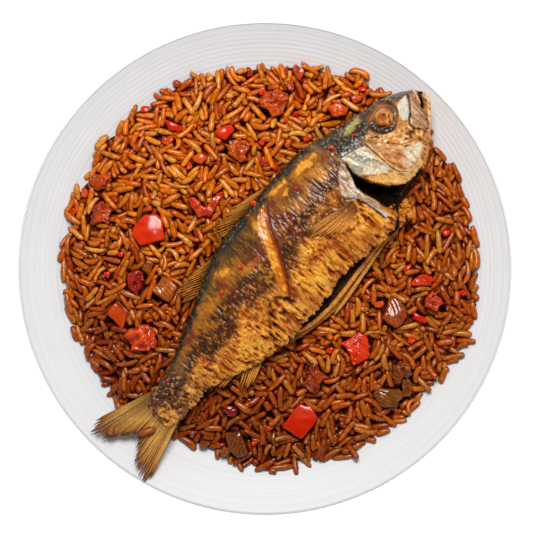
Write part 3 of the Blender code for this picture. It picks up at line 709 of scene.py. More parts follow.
def fish_grid():
    """The stations along the fish and the shares round it at which its skin has points."""
    stations = np.concatenate([np.arange(-17, 144, 0.54), np.arange(144, 212.1, 0.44)])
    round_share = np.linspace(0, 1, 146)
    across = 0.7 * (2 * round_share - 1) - 0.3 * np.cos(math.pi * round_share)
    return stations, across / across[-1]


def build_fish():
    """The whole fish as one closed piece: upper flank, the side that it lies on, and the hollow belly."""
    stations, across = fish_grid()
    s = np.repeat(stations[:, None], len(across), axis=1)
    back = reading(BACK, stations)[:, None]
    ragged = smooth_step(58, 70, stations) * smooth_step(152, 145, stations)
    tear = (mottle(stations / 2.1, stations * 0, 50) - 0.5) * 2.4 + (mottle(stations / 0.8, stations * 0, 51)
                                                                     - 0.5) * 1.2
    gape = 2.2 * smooth_step(64, 80, stations) * smooth_step(128, 108, stations)
    belly = (reading(UPPER_BELLY, stations) + tear * ragged + gape)[:, None]
    v = (back + belly) / 2 + (back - belly) / 2 * across[None, :]
    up = np.sqrt(np.clip(1 - across**2, 0, 1))[None, :]
    edge = (reading(BELLY_EDGE, stations)[:, None]) * (1 - across[None, :]) / 2 * (1 - 0.5 * up)
    half = reading(HALF_THICKNESS, stations)[:, None]
    middle = reading(MIDDLE_HEIGHT, stations)[:, None]
    z = middle + half * up**0.85 * (1 + 0.16 * across[None, :]) + edge
    skin = Skin(s, v, v - across[None, :] ** 3 * (z - middle))
    paint_trunk(skin)
    paint_marks(skin)
    paint_head(skin)
    facing = np.maximum(up, 0.15)
    tilt = np.hypot(across[None, :] * 0.55, facing)
    lift = skin.lift * smooth_step(0, 0.25, up + 0.1)
    z = z + lift * facing / tilt
    v = v + np.clip(lift, -1.2, 1.5) * across[None, :] * 0.55 / tilt
    top = to_plate(s, v, z)
    # the side it lies on
    across_low = np.linspace(1, -1, 34)[1:]
    up_low = np.sqrt(np.clip(1 - across_low**2, 0, 1))[None, :]
    belly_low = reading(LOWER_BELLY, stations)[:, None]
    v_low = (back + belly_low) / 2 + (back - belly_low) / 2 * across_low[None, :]
    edge_low = (reading(BELLY_EDGE, stations)[:, None]) * (1 - across_low[None, :]) / 2 * (1 - 0.5 * up_low)
    z_low = middle - half * up_low**0.85 * (1 + 0.16 * across_low[None, :]) - edge_low
    s_low = np.repeat(stations[:, None], len(across_low), axis=1)
    z_low = z_low + (mottle(s_low / 2, v_low / 2, 60) - 0.5) * 0.7 * up_low
    low = to_plate(s_low, v_low, z_low)
    skin_low = Skin(s_low, v_low, v_low - across_low[None, :] ** 3 * (z_low - middle))
    paint_trunk(skin_low)
    # the hollow belly: in from the far edge and back out to the near one. Its inside is painted near black as painted
    # shade, with a golden edge.
    inner_share = np.array([0.015, 0.04, 0.09, 0.18, 0.3, 0.42, 0.55, 0.68, 0.8, 0.92])
    hollow = reading(BELLY_HOLLOW, stations)[:, None]
    far_v, far_z = v_low[:, -1:], z_low[:, -1:]
    near_v, near_z = v[:, :1], z[:, :1]
    depth = np.sin(math.pi * inner_share)[None, :] ** 0.7
    v_in = far_v + (near_v - far_v) * inner_share[None, :] ** 2 + hollow * depth
    z_in = far_z + (near_z - far_z) * smooth_step(0.12, 0.88, inner_share)[None, :]
    rim = np.exp(-((inner_share - 0.08) / 0.1) ** 2)[None, :] * np.minimum(hollow, 9) / 9
    z_in = z_in + rim * 1.6
    s_in = np.repeat(stations[:, None], len(inner_share), axis=1)
    inside = to_plate(s_in, v_in, z_in)
    colour_in = np.zeros((*s_in.shape, 3)) + np.array(tone(24, 12, 6))
    golden = smooth_step(0.05, 0.01, inner_share)[None, :] * np.ones(s_in.shape)
    grain = mottle(s_in / 6, v_in / 0.9, 61)
    tan = np.array(tone(182, 112, 44)) * (0.45 + 0.9 * grain[..., None])
    colour_in += (tan - colour_in) * golden[..., None]
    points = np.concatenate([top, low, inside], axis=1)
    colours = np.concatenate([skin.colour, skin_low.colour, colour_in], axis=1)
    rings, count = points.shape[:2]
    index = np.arange(rings * count).reshape(rings, count)
    beside = np.roll(index, -1, axis=1)
    quads = np.stack([index[:-1], beside[:-1], beside[1:], index[1:]], axis=-1).reshape(-1, 4)
    faces = quads.tolist() + [index[0, ::-1].tolist(), index[-1].tolist()]
    return piece_of("fried_fish", points.reshape(-1, 3), faces, colours.reshape(-1, 3))


def piece_of(name, points, faces, colours=None):
    """A piece made of points and faces, turned outwards, smooth, with its colours painted on the points."""
    mesh = bpy.data.meshes.new(name)
    mesh.from_pydata(np.asarray(points).tolist(), [], faces)
    if colours is not None:
        paint_points(mesh, colours)
    made = bpy.data.objects.new(name, mesh)
    bpy.context.scene.collection.objects.link(made)
    shape = bmesh.new()
    shape.from_mesh(mesh)
    bmesh.ops.recalc_face_normals(shape, faces=shape.faces)
    shape.to_mesh(mesh)
    shape.free()
    mesh.shade_smooth()
    return made


def settle(piece, material, slot, *nodes):
    """Gives a piece its finish and its body, and hides the plain solids that it stands for."""
    piece.data.materials.append(material)
    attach(piece, "root")
    if nodes:
        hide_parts(*nodes)
    return piece


fried_skin = finish_with_grain(
    principled("fried_skin", coat_weight=0.4, coat_roughness=0.17, specular_ior_level=0.1),
    stretch=(FISH_TURN, 2.6), size=1100.0, unevenness=0.36, bump=0.8, depth=0.0007, smoothest=0.3,
    roughest=0.5,
)
fish = settle(build_fish(), fried_skin, "fried_skin", "fish")
# the dull finish of the gills and the belly, whose near black is painted shade
painted_shade_inside = finish_with_grain(
    principled("painted_shade_inside", specular_ior_level=0.1), size=500.0, unevenness=0.5, bump=0.5, depth=0.0005,
    smoothest=0.7, roughest=0.8,
)
fish.data.materials.append(painted_shade_inside)
head_skin = finish_with_grain(
    principled("head_skin", coat_weight=0.6, coat_roughness=0.12, specular_ior_level=0.15), size=700.0,
    unevenness=0.16, bump=0.5, depth=0.0004, smoothest=0.25, roughest=0.45,
)
fish.data.materials.append(head_skin)


def share_finishes(fish):
    """Gives the smoother finish to the head, and the dull inner one to the gills and belly, which are painted nearly
    black as painted shade.
    """
    paints = np.empty(len(fish.data.vertices) * 4)
    fish.data.color_attributes["paint"].data.foreach_get("color", paints)
    light = paints.reshape(-1, 4)[:, :3].sum(axis=1)
    s, v = to_fish(*points_of(fish).T[:2])
    dull = (light < 0.03) & (v < 16) & ((s < 140) | (s > 146)) & (s > 60)
    for face in fish.data.polygons:
        on_head = s[face.vertices[0]] + 0.35 * (v[face.vertices[0]] - 16) > 154
        face.material_index = 1 if sum(dull[n] for n in face.vertices) > 2 else 2 * int(on_head)


share_finishes(fish)


def build_eye():
    """The cooked eye: a shrunken ball with a fold across it."""
    bpy.ops.mesh.primitive_uv_sphere_add(segments=40, ring_count=24, radius=1)
    ball = bpy.context.object
    ball.name = "cooked_eye"
    x, y, z = points_of(ball).T
    folds_in = (
        ((0.0, -0.62), (0.34, -0.46), (0.5, -0.12)), ((-0.86, 0.0), (-0.7, -0.34), (-0.46, -0.5)),
        ((0.1, 0.3), (0.3, 0.24)),
    )
    fold = np.min([path_distance(x, y, path) for path in folds_in], axis=0)
    wrinkle = (mottle(x * 3 + 9, y * 3 + 9, 70) - 0.5) * 0.34
    ring = np.exp(-((np.hypot(x, y) - 0.62) / 0.14) ** 2) * 0.14
    height = np.maximum(z, -0.4) * (1 - 0.3 * np.exp(-((fold / 0.12) ** 2))) + (wrinkle + ring) * (z > 0)
    uneven = 1 + 0.3 * (mottle(x * 1.4 + 4, y * 1.4 + 4, 72) - 0.5)
    s, v = EYE[0] + x * EYE_SIZE[0] * uneven, EYE[1] - 0.4 + y * EYE_SIZE[1] * uneven
    points = to_plate(s, v, float(fish_top(*EYE)) - 2.2 + height * EYE_SIZE[2])
    light = smooth_step(0.3, 0.75, mottle(x * 2.2 + 5, y * 2.2 + 5, 71))[:, None]
    colours = np.array(tone(176, 92, 26)) * (1 - light) + np.array(tone(240, 176, 76)) * light
    # the fold is painted dark: painted shade in its crease
    dark = smooth_step(0.13, 0.03, fold)[:, None]
    colours = colours * (1 - dark) + np.array(tone(40, 20, 10)) * dark
    ball.data.vertices.foreach_set("co", points.ravel())
    paint_points(ball.data, colours)
    ball.data.shade_smooth()
    ball.select_set(False)
    return ball


settle(build_eye(), fried_skin, "fried_skin")


def ray_fan(name, roots, tips, count, colours, seed, width=1.0, fray=2.0, steps=16, sag=0.0):
    """A fin: rays side by side from a root line to a tip line, each a tapering ridge that ends in a frayed point.

    The lines are (along, across, height). The colours are those at the root, in the middle and at the tip.
    """
    dice = random.Random(seed)
    roots, tips = np.array(roots, float), np.array(tips, float)
    shares = (np.arange(count) + 0.5) / count

    def along(line, share):
        lengths = np.concatenate([[0], np.cumsum(np.linalg.norm(np.diff(line, axis=0), axis=1))])
        return np.array([np.interp(share * lengths[-1], lengths, line[:, k]) for k in range(3)])

    section = np.array([(-0.5, 0), (-0.28, 0.3), (0, 0.62), (0.28, 0.3), (0.5, 0), (0.2, -0.2), (-0.2, -0.2)])
    points, faces, paints = [], [], []
    shades = [np.array(tone(*colour)) for colour in colours]
    for share in shares:
        root, tip = along(roots, share), along(tips, share)
        before, after = max(share - 0.5 / count, 0), min(share + 0.5 / count, 1)
        wide = np.linalg.norm(along(tips, after) - along(tips, before))
        narrow = np.linalg.norm(along(roots, after) - along(roots, before))
        tip = tip + (tip - root) / np.linalg.norm(tip - root) * dice.uniform(-fray, fray * 0.4)
        sway = dice.uniform(-0.5, 0.5)
        end = dice.uniform(0.74, 0.93)
        lightness = dice.uniform(0.75, 1.2)
        base = len(points)
        for i in range(steps + 1):
            t = i / steps
            middle = root + (tip - root) * t
            middle = middle + np.array([0, sway * t * t, -sag * math.sin(math.pi * t)])
            side = np.cross(tip - root, (0, 0, 1))
            side = side / np.linalg.norm(side)
            broad = (narrow + (wide - narrow) * t) * width
            if t > end:
                broad *= max(1 - (t - end) / (1 - end), 0.12)
            rib = 1 - 0.5 * t
            if t < 0.5:
                shade = shades[0] * (1 - 2 * t) + shades[1] * 2 * t
            else:
                shade = shades[1] * (2 - 2 * t) + shades[2] * (2 * t - 1)
            for a, h in section:
                points.append(middle + side * a * broad + np.array([0, 0, h * rib]))
                # each ray is painted nearly black at its edges, as painted shade between the rays, and lighter along
                # its crest, as painted highlight
                groove = 0.08 if abs(a) > 0.45 else (0.6 if abs(a) > 0.25 else 1.35)
                tip_dark = 1 - 0.7 * max(0.0, (t - end) / (1 - end))
                paints.append(shade * groove * lightness * tip_dark)
        size = len(section)
        for i in range(steps):
            for k in range(size):
                a, b = base + i * size + k, base + i * size + (k + 1) % size
                faces.append((a, b, b + size, a + size))
        faces.append(tuple(base + k for k in range(size)))
        faces.append(tuple(base + steps * size + k for k in range(size)))
    points = np.array(points)
    return piece_of(name, to_plate(points[:, 0], points[:, 1], points[:, 2]), faces, np.array(paints))


def stand_on_middle(line, extra=0.0):
    """The (along, across) points of a line at the height of the fish's middle plane."""
    return [(s, v, float(reading(MIDDLE_HEIGHT, s)) + extra) for s, v in line]


fin_horn = finish_with_grain(
    principled("fin_horn", coat_weight=0.3, coat_roughness=0.15, specular_ior_level=0.15), size=700.0,
    unevenness=0.2, bump=0.3, depth=0.0002, smoothest=0.35, roughest=0.55,
)
TAIL_TONES = ((126, 86, 40), (216, 160, 80), (140, 66, 16))
FIN_TONES = ((124, 60, 12), (222, 146, 54), (188, 106, 32))


def on_flank(line, extra):
    """The (along, across) points of a line, as far above the fish's upper side as extra says."""
    return [(s, v, float(fish_top(s, v)) + extra) for s, v in line]


# Each fin is (name, root line, tip line, rays, tones, how its rays are made). Its place here is also its seed.
FINS = (
    ("tail_upper_lobe", stand_on_middle(((-4, 9.5), (-8, 5), (-9.5, 1)), 0.2),
     stand_on_middle(((-41, 23.4), (-47, 21.4), (-48.5, 18.5), (-45, 13.2), (-38.5, 7.2), (-31, 1.8)), -0.2),
     21, TAIL_TONES, {}),
    ("tail_lower_lobe", stand_on_middle(((-9.5, 1.5), (-8, -4), (-2, -8.6))),
     stand_on_middle(((-30, 0.6), (-34, -1.8), (-39, -5), (-44, -9), (-47, -14), (-48.4, -19), (-43, -19.6)),
                     -0.6),
     21, TAIL_TONES, {}),
    ("front_back_fin", ((122, 35.6, 36), (112, 36.4, 35.6), (100, 36.8, 35), (86, 36.2, 34.6)),
     ((101, 43.4, 34), (90, 45.2, 33), (80, 44.6, 32), (76.5, 38.8, 31.4)), 17, FIN_TONES,
     {"width": 0.36, "fray": 3}),
    ("rear_back_fin", ((72, 33.4, 34), (64, 30.6, 33), (56, 28, 32.6), (49, 25.6, 32.4)),
     ((53, 37.4, 31.6), (45, 38.2, 31), (40.4, 36, 30.6), (37.6, 31.2, 30.4)), 14, FIN_TONES,
     {"width": 0.42, "fray": 3}),
    ("vent_fin_front", ((49, -22, 33), (42, -19.5, 32.5), (39, -17, 32)),
     ((32, -28, 31.6), (25.5, -26.6, 31.4), (25.6, -22.4, 31)), 7, FIN_TONES, {"width": 0.8, "fray": 1.5}),
    ("vent_fin_rear", ((33, -17, 32), (28, -13.5, 31.5)), ((19, -17.6, 30.4), (16.6, -14.6, 30.2)), 5,
     FIN_TONES,
     {"width": 0.9, "fray": 1}),
    ("side_fin", on_flank(((141.5, -2), (140.5, -6.5), (137, -10.5)), 0.6),
     on_flank(((112, 6.6), (109.5, 6), (112, 1.4), (119, -5.6), (126, -11.6), (132, -13.6)), 1.5),
     24, FIN_TONES, {"fray": 0.6}),
)
for seed, (name, roots, tips, count, tones, made) in enumerate(FINS, 1):
    settle(ray_fan(name, roots, tips, count, tones, seed, **made), fin_horn, "fried_skin")


def lumpy_ball(name, size, detail, seed, paint, rough=0.25, wrinkles=3.0):
    """A ball pushed into an uneven lump: size is its half sizes in metres, paint gives colours for its heights, so
    that the lumps are lighter and the hollows darker, as painted highlight and shade.
    """
    bpy.ops.mesh.primitive_ico_sphere_add(subdivisions=detail, radius=1)
    lump = bpy.context.object
    lump.name = name
    place = points_of(lump)
    a = mottle(place[:, 0] * wrinkles + seed, place[:, 1] * wrinkles + place[:, 2] * 1.7, seed)
    b = mottle(place[:, 1] * wrinkles * 2 + seed, place[:, 2] * wrinkles * 2 - place[:, 0], seed + 1)
    ridge = 1 - np.abs(2 * b - 1)
    swell = 1 + rough * (1.3 * (a - 0.5) + 0.8 * (ridge - 0.5))
    shaped = place * np.array(size) * swell[:, None]
    lump.data.vertices.foreach_set("co", shaped.ravel())
    paint_points(lump.data, paint(0.55 * a + 0.45 * ridge))
    lump.data.shade_smooth()
    lump.select_set(False)
    return lump


def between(low, high, levels):
    """Colours from one tone to another by a level from 0 to 1."""
    low, high = np.array(tone(*low)), np.array(tone(*high))
    return low + (high - low) * smooth_step(0.2, 0.8, levels)[:, None]


def move_points(obj, place, turn=(0, 0, 0)):
    """Puts a piece in its place by moving its points, so that its object stays at the origin."""
    obj.data.transform(Matrix.Translation(Vector(place)) @ Euler(turn).to_matrix().to_4x4())
    obj.data.update()


def join(name, parts):
    """Joins loose shapes into one piece."""
    for part in parts:
        part.select_set(True)
    bpy.context.view_layer.objects.active = parts[0]
    bpy.ops.object.join()
    joined = bpy.context.object
    joined.name = name
    joined.select_set(False)
    return joined


def torn_breast():
    """Shreds of flesh where the throat was cut away from the belly."""
    dice = random.Random(8)
    throat = ((150, -19), (159, -21), (161, -27), (157, -31.5), (150, -32), (147, -25))
    shreds = []
    for n in range(26):
        s, v = dice.uniform(148, 160), dice.uniform(-32, -19)
        if path_distance(np.array(s), np.array(v), throat, closed=True) > 0:
            continue
        size = [dice.uniform(1.2, 2.6) * MM for _ in range(3)]
        shred = lumpy_ball(
            f"shred_{n}", size, 3, n, lambda level: between((132, 50, 4), (240, 150, 44), level), rough=0.5
        )
        z = 33.5 + dice.uniform(-2, 2) - 0.25 * (-v - 19)
        move_points(shred, to_plate(s, v, z), (dice.uniform(0, 3), dice.uniform(0, 3), dice.uniform(0, 3)))
        shreds.append(shred)
    return join("torn_breast", shreds)


settle(torn_breast(), fried_skin, "fried_skin")


def tail_crumbs():
    """Burnt crumbs of skin and sauce stuck over the roots of the tail's rays."""
    dice = random.Random(12)
    crumbs = []
    while len(crumbs) < 150:
        s, v = dice.gauss(-4.5, 5.0), dice.gauss(1.0, 4.6)
        if not -15 < s < 12 or abs(v) > 9.5:
            continue
        size = [dice.uniform(0.5, 1.5) * MM for _ in range(3)]
        pale = dice.random() < 0.25
        low, high = ((116, 62, 24), (206, 140, 78)) if pale else ((30, 16, 10), (104, 58, 30))
        crumb = lumpy_ball(f"crumb_{len(crumbs)}", size, 2, len(crumbs),
                           lambda level: between(low, high, level), rough=0.5)
        height = max(float(fish_top(s, v)) if s > -9 else 0, float(reading(MIDDLE_HEIGHT, s)) + 0.4)
        move_points(crumb, to_plate(s, v, height),
                    (dice.uniform(0, 3), dice.uniform(0, 3), dice.uniform(0, 3)))
        crumbs.append(crumb)
    return join("tail_crumbs", crumbs)


settle(tail_crumbs(), fried_skin, "fried_skin")


def tapered_rod(name, line, radius, colours, seed, sides=8):
    """A bare rib or spine along a line of (along, across, height), thin at both ends, its colours going from the first
    underneath to the second on top, as painted shade and highlight.
    """
    line = np.array(line, float)
    steps = 40
    lengths = np.concatenate([[0], np.cumsum(np.linalg.norm(np.diff(line, axis=0), axis=1))])
    at = np.linspace(0, lengths[-1], steps)
    middle = np.stack([np.interp(at, lengths, line[:, k]) for k in range(3)], axis=1)
    kernel = np.array([0.25, 0.5, 0.25])
    for _ in range(3):
        for k in range(3):
            middle[1:-1, k] = np.convolve(middle[:, k], kernel, "valid")
    share = at / lengths[-1]
    thick = radius * np.clip(np.minimum(share, 1 - share) * 8 + 0.15, 0,
                             1) * (0.8 + 0.4 * mottle(at / 3, at * 0, seed))
    points, faces, paints = [], [], []
    for i in range(steps):
        ahead = middle[min(i + 1, steps - 1)] - middle[max(i - 1, 0)]
        side = np.cross(ahead, (0, 0, 1))
        side /= np.linalg.norm(side)
        over = np.cross(side, ahead)
        over /= np.linalg.norm(over)
        for k in range(sides):
            turn = math.tau * k / sides
            points.append(middle[i] + thick[i] * (side * math.cos(turn) + over * math.sin(turn)))
            # the rod goes from the first colour underneath to the second on top: painted shade and painted highlight
            paints.append(between(colours[0], colours[1], np.array([0.5 + 0.5 * math.sin(turn)]))[0])
    for i in range(steps - 1):
        for k in range(sides):
            a, b = i * sides + k, i * sides + (k + 1) % sides
            faces.append((a, b, b + sides, a + sides))
    faces += [tuple(range(sides)), tuple(range((steps - 1) * sides, steps * sides))]
    points = np.array(points)
    return piece_of(name, to_plate(points[:, 0], points[:, 1], points[:, 2]), faces, np.array(paints))


belly_ribs = [
    tapered_rod("rib_1", ((147, -27, 34.5), (131, -28.8, 33.8), (117, -30, 33.2), (104, -31.2, 33),
                          (92, -31.8, 33),
                          (80, -30.6, 33), (66, -27, 33.4)), 1.35, ((96, 46, 12), (226, 148, 58)), 81),
    tapered_rod("rib_2", ((142, -29.4, 33), (127, -31.6, 32), (112, -33.6, 31.6), (100, -35.2, 31.4),
                          (89, -36, 31.4)),
                1.1, ((96, 46, 14), (218, 146, 62)), 82),
]
settle(join("belly_ribs", belly_ribs), fried_skin, "fried_skin")

# ---- the heap's own surface, which the vegetables and the grains are laid to ---------------------------------------
# The rice is turned out on the plate and patted level: nearly flat on top, steep at its round, uneven edge.
HEAP_RADIUS = 112 * MM
HEAP_CROWN = 27 * MM
# Each wave of the heap's outline is (waves round the plate, height, phase).
HEAP_WAVES = ((1, 3.9 * MM, -0.52), (2, 1.8 * MM, 0.0), (5, 1.1 * MM, 0.8), (9, 0.8 * MM, 2.1),
              (14, 0.6 * MM, 4.0))


def heap_radius(angle):
    """Distance from the plate's middle to the heap's edge, in this direction."""
    return HEAP_RADIUS + sum(height * np.cos(waves * angle + phase) for waves, height, phase in HEAP_WAVES)


def heap_surface(x, y):
    """Height of the heap's top at a point."""
    edge = heap_radius(np.arctan2(y, x))
    share = np.clip(np.hypot(x, y) / edge, 0, 1)
    base = plate_surface(edge) + 1.6 * MM
    return base + (HEAP_CROWN - base) * (1 - share**3.2) ** 0.8


# ---- the vegetables -----------------------------------------------------------------------------------------------
# Red pepper cut into squares through its glossy skin, tomato that has collapsed into wet torn lumps, and petals of
# onion gone amber and translucent. They were fried into the sauce, and they lie in the top of the rice as they fell.
# Each row is (outline in millimetres, tilt in degrees, rib direction or none, darkest colour, lightest colour).
PEPPERS = {
    "pepper_1": (((-9, -2), (-7.4, 2.6), (-2, 8), (4.5, 8.6), (7.6, 5), (9.2, -5.5), (0, -7.6), (-4.6, -9)),
                 (-6, -4), None, (208, 36, 0), (226, 62, 0)),
    "pepper_2": (((-6, 1), (-1.4, 7.4), (5.4, 1), (2.6, -7.4)), (6, 5), None, (184, 62, 0), (206, 84, 6)),
    "pepper_3": (((-10.6, -3.6), (-1, 9.6), (6, 8), (9.6, 1.4), (0.8, -9.8)), (0, -5), None, (194, 30, 0),
                 (216, 52, 0)),
    "pepper_4": (((-8, 3.4), (3, 9.4), (7.6, 4), (7.6, -5), (-1, -10), (-3, -4)), (-6, 4), 0.5, (186, 24, 0),
                 (228, 70, 10)),
    "pepper_5": (((-5.4, 1), (3.4, 4.4), (5.4, 1.4), (0.4, -4.8), (-3.8, -2.6)), (-6, 6), None, (206, 30, 0),
                 (228, 60, 0)),
    "pepper_6": (((-5, 3.8), (5, -0.4), (4, -3.6), (-2.6, -2.8)), (-2, 4), None, (200, 34, 0), (222, 58, 0)),
    "pepper_7": (((-4, 3.4), (4.4, -1), (3.2, -3.4), (-3.6, -1.2)), (-5, 8), None, (204, 18, 0),
                 (226, 44, 2)),
    "pepper_8": (((-6, 1.6), (-1, 4.2), (6, 1), (4.4, -3), (-3, -4)), (-6, 5), 0.3, (204, 66, 0),
                 (230, 100, 8)),
    "pepper_9": (((-4.6, 1.6), (1, 3.4), (4.6, 0), (1, -3.2), (-3.6, -1.8)), (0, -5), None, (210, 80, 0),
                 (230, 106, 4)),
}
PEPPER_WALL = 3.4
ONIONS = {
    "onion_1": (((-7, -1.6), (-0.6, 6.6), (3, 5.4), (7.6, 0.6), (3, -8), (-1, -6.4)), (-13, 6), 0.9,
                (150, 66, 6), (206, 118, 32)),
    "onion_2": (((-6.8, -4), (-2.4, 9), (3.2, 7.6), (7.4, 0), (4.6, -6.4), (0.4, -9.4)), (-11, 5), 1.3,
                (132, 52, 4), (186, 92, 22)),
    "onion_3": (((-8.6, 2), (-6, 5.2), (6.4, 4.6), (9, 0.6), (3.4, -5.2), (-4, -5.4)), (6, 6), 0.3,
                (104, 58, 2), (150, 92, 16)),
    "onion_4": (((-6.6, 6), (2, 7.6), (6.8, -5.6), (0.6, -8), (-4.2, -3.4)), (5, -5), 1.9, (92, 44, 4),
                (150, 84, 22)),
}
ONION_WALL = 3.4
# The torn lumps take their sizes from their plain solids. Each row is (rib direction, darkest, lightest).
TOMATOES = {
    "tomato_1": (None, (124, 24, 0), (198, 78, 8)),
    "tomato_2": (None, (130, 30, 0), (206, 84, 10)),
    "tomato_3": (None, (160, 22, 0), (230, 84, 4)),
    "tomato_4": (1.2, (120, 6, 0), (194, 40, 4)),
    "tomato_5": (None, (160, 42, 0), (222, 104, 14)),
    "tomato_6": (None, (140, 34, 0), (214, 92, 18)),
    "tomato_7": (0.2, (104, 24, 0), (184, 74, 8)),
    "tomato_8": (1.0, (88, 32, 0), (156, 78, 14)),
    "tomato_9": (None, (150, 28, 0), (218, 78, 6)),
    "tomato_10": (None, (150, 16, 0), (218, 64, 6)),
    "tomato_11": (0.6, (92, 6, 0), (150, 26, 8)),
}
SKIN_CURL = ((-10.2, 7.9), (-6, 8.5), (-3, 5.2), (-1.6, 3.2), (1, 3.2), (5, 7.4), (9.6, 13.1), (10.6, 9.9),
             (8, 5),
             (3.4, -2.3), (-3, -3.1), (-6.4, 0.4))
PIECE_GRAIN = 0.4 * MM  # how finely a cut piece is meshed
OIL_PALES = (1.0, 0.8, 0.45)  # the film of oil adds a pale reflection, which is taken off the colours under it


def cut_wall(name, outline, wall, rounding=1.1, smoothing=6):
    """A piece cut square out of a wall: its outline is extruded, its edges rounded, and it is meshed evenly."""
    mesh = bpy.data.meshes.new(name)
    mesh.from_pydata([(x * MM, y * MM, -wall / 2 * MM) for x, y in outline], [], [tuple(range(len(outline)))])
    piece = bpy.data.objects.new(name, mesh)
    bpy.context.scene.collection.objects.link(piece)
    bpy.context.view_layer.objects.active = piece
    piece.select_set(True)
    bpy.ops.object.mode_set(mode="EDIT")
    bpy.ops.mesh.select_all(action="SELECT")
    bpy.ops.mesh.extrude_region_move(TRANSFORM_OT_translate={"value": (0, 0, wall * MM)})
    bpy.ops.mesh.select_all(action="SELECT")
    bpy.ops.mesh.normals_make_consistent(inside=False)
    bpy.ops.object.mode_set(mode="OBJECT")
    edges = piece.modifiers.new("rounded_edges", "BEVEL")
    edges.width = rounding * MM
    edges.segments = 3
    even = piece.modifiers.new("even", "REMESH")
    even.mode = "VOXEL"
    even.voxel_size = PIECE_GRAIN
    soften = piece.modifiers.new("soften", "SMOOTH")
    soften.factor = 0.5
    soften.iterations = smoothing
    for modifier in (edges.name, even.name, soften.name):
        bpy.ops.object.modifier_apply(modifier=modifier)
    piece.select_set(False)
    return piece


def folds(x, y, seed):
    """Creased values from 0 to 1: rounded ridges with sharp valleys between them."""
    return 1 - np.abs(2 * mottle(x, y, seed) - 1)


def work_surface(piece, seed, crown, ripple, crease, low, high, lines=None):
    """Domes a piece, ripples and creases its faces, and paints it darker in its creases and lighter on its crests and
    ribs, as painted shade and painted highlight, over an uneven tone. lines is the direction of any ribs, in radians.
    """
    x, y, z = (points_of(piece) / MM).T
    size = np.hypot(x, y).max()
    wave = mottle(x / 4 + seed, y / 4, seed) - 0.5
    bend_x, bend_y = x + 1.6 * wave, y + 1.6 * mottle(x / 3, y / 3 + seed, seed + 7)
    coarse = folds(bend_x / 3.4 + seed, bend_y / 3.4, seed + 1)
    fine = folds(bend_x / 1.3, bend_y / 1.3 + seed, seed + 2)
    # the paint follows the creases and ribs: painted shade in them, painted highlight on the crests
    level = 0.4 * mottle(x / 2.8, y / 2.8 + seed, seed + 3) + (0.4 * coarse + 0.2 * fine if crease else 0.3)
    rise = crown * (1 - (np.hypot(x, y) / size) ** 2) + 2 * ripple * wave
    rise = rise + crease * (coarse - 0.5) + 0.55 * crease * (fine - 0.5)
    if lines is not None:
        across = x * math.sin(lines) + y * math.cos(lines) + 0.8 * wave
        ribs = (0.5 + 0.5 * np.sin(across * 3.1 + 2 * wave)) * mottle(x / 3, y / 3, seed + 8)
        rise = rise + 0.45 * ribs
        level = 0.75 * level + 0.35 * ribs
    upper = smooth_step(-0.8, 0.8, z)
    z = z + rise * (0.25 + 0.75 * upper)
    shove = 0.7 + 1.8 * crease
    x, y = (x + shove * (mottle(x / 3 + seed, y / 3, seed + 5) - 0.5),
            y + shove * (mottle(x / 3, y / 3 + seed, seed + 6) - 0.5))
    piece.data.vertices.foreach_set("co", (np.stack([x, y, z], axis=1) * MM).ravel())
    paint_points(piece.data, between(low, high, level) * np.array(OIL_PALES))
    piece.data.shade_smooth()


def lay_in(piece, node, outline, tilt, rise=0.0):
    """Turns a piece and moves it to where its plain solid lies."""
    lowest, highest = (np.array(corner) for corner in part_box(node))
    xs, ys = [x for x, y in outline], [y for x, y in outline]
    shift = np.array([(max(xs) + min(xs)) / 2, (max(ys) + min(ys)) / 2, -rise]) * MM
    turn = (math.radians(tilt[0]), math.radians(tilt[1]), 0)
    move_points(piece, (lowest + highest) / 2 - shift, turn)


def wet_flesh(name, coat, film, glow, scale, red_reach, shine=0.08, **grain):
    """A moist, slightly see-through flesh under a film of oil."""
    made = principled(name, coat_weight=coat, coat_roughness=film, subsurface_weight=glow,
                      subsurface_scale=scale)
    shader = made.node_tree.nodes["Principled BSDF"]
    shader.inputs["Subsurface Radius"].default_value = red_reach
    shader.inputs["Specular IOR Level"].default_value = shine
    return finish_with_grain(made, **grain)


def deepen_edges(material, factor):
    """Multiplies the colour where the surface turns away from the eye, as in something that light passes into."""
    tree = material.node_tree
    taken = tree.nodes["Principled BSDF"].inputs["Base Color"]
    turned = add_node(tree, "ShaderNodeLayerWeight", {"Blend": 0.45})
    mix = tree.nodes.new("ShaderNodeMix")
    mix.data_type = "RGBA"
    mix.blend_type = "MULTIPLY"
    mix.inputs["B"].default_value = (*factor, 1)
    tree.links.new(turned.outputs["Facing"], mix.inputs["Factor"])
    tree.links.new(taken.links[0].from_socket, mix.inputs["A"])
    tree.links.new(mix.outputs["Result"], taken)


pepper_flesh = wet_flesh("pepper_flesh", 0.55, 0.16, 0.15, 0.003, (1.0, 0.25, 0.1), size=240.0,
                         unevenness=0.05, bump=0.08,
                         depth=0.0002, smoothest=0.2, roughest=0.3)
for seed, (node, (outline, tilt, lines, low, high)) in enumerate(PEPPERS.items(), 100):
    square = cut_wall(f"{node}_square", outline, PEPPER_WALL, 0.7, 3)
    work_surface(square, seed, 1.2, 0.15, 0.0 if lines is None else 0.3, low, high, lines)
    lay_in(square, node, outline, tilt, 0.2)
    settle(square, pepper_flesh, "pepper", node)

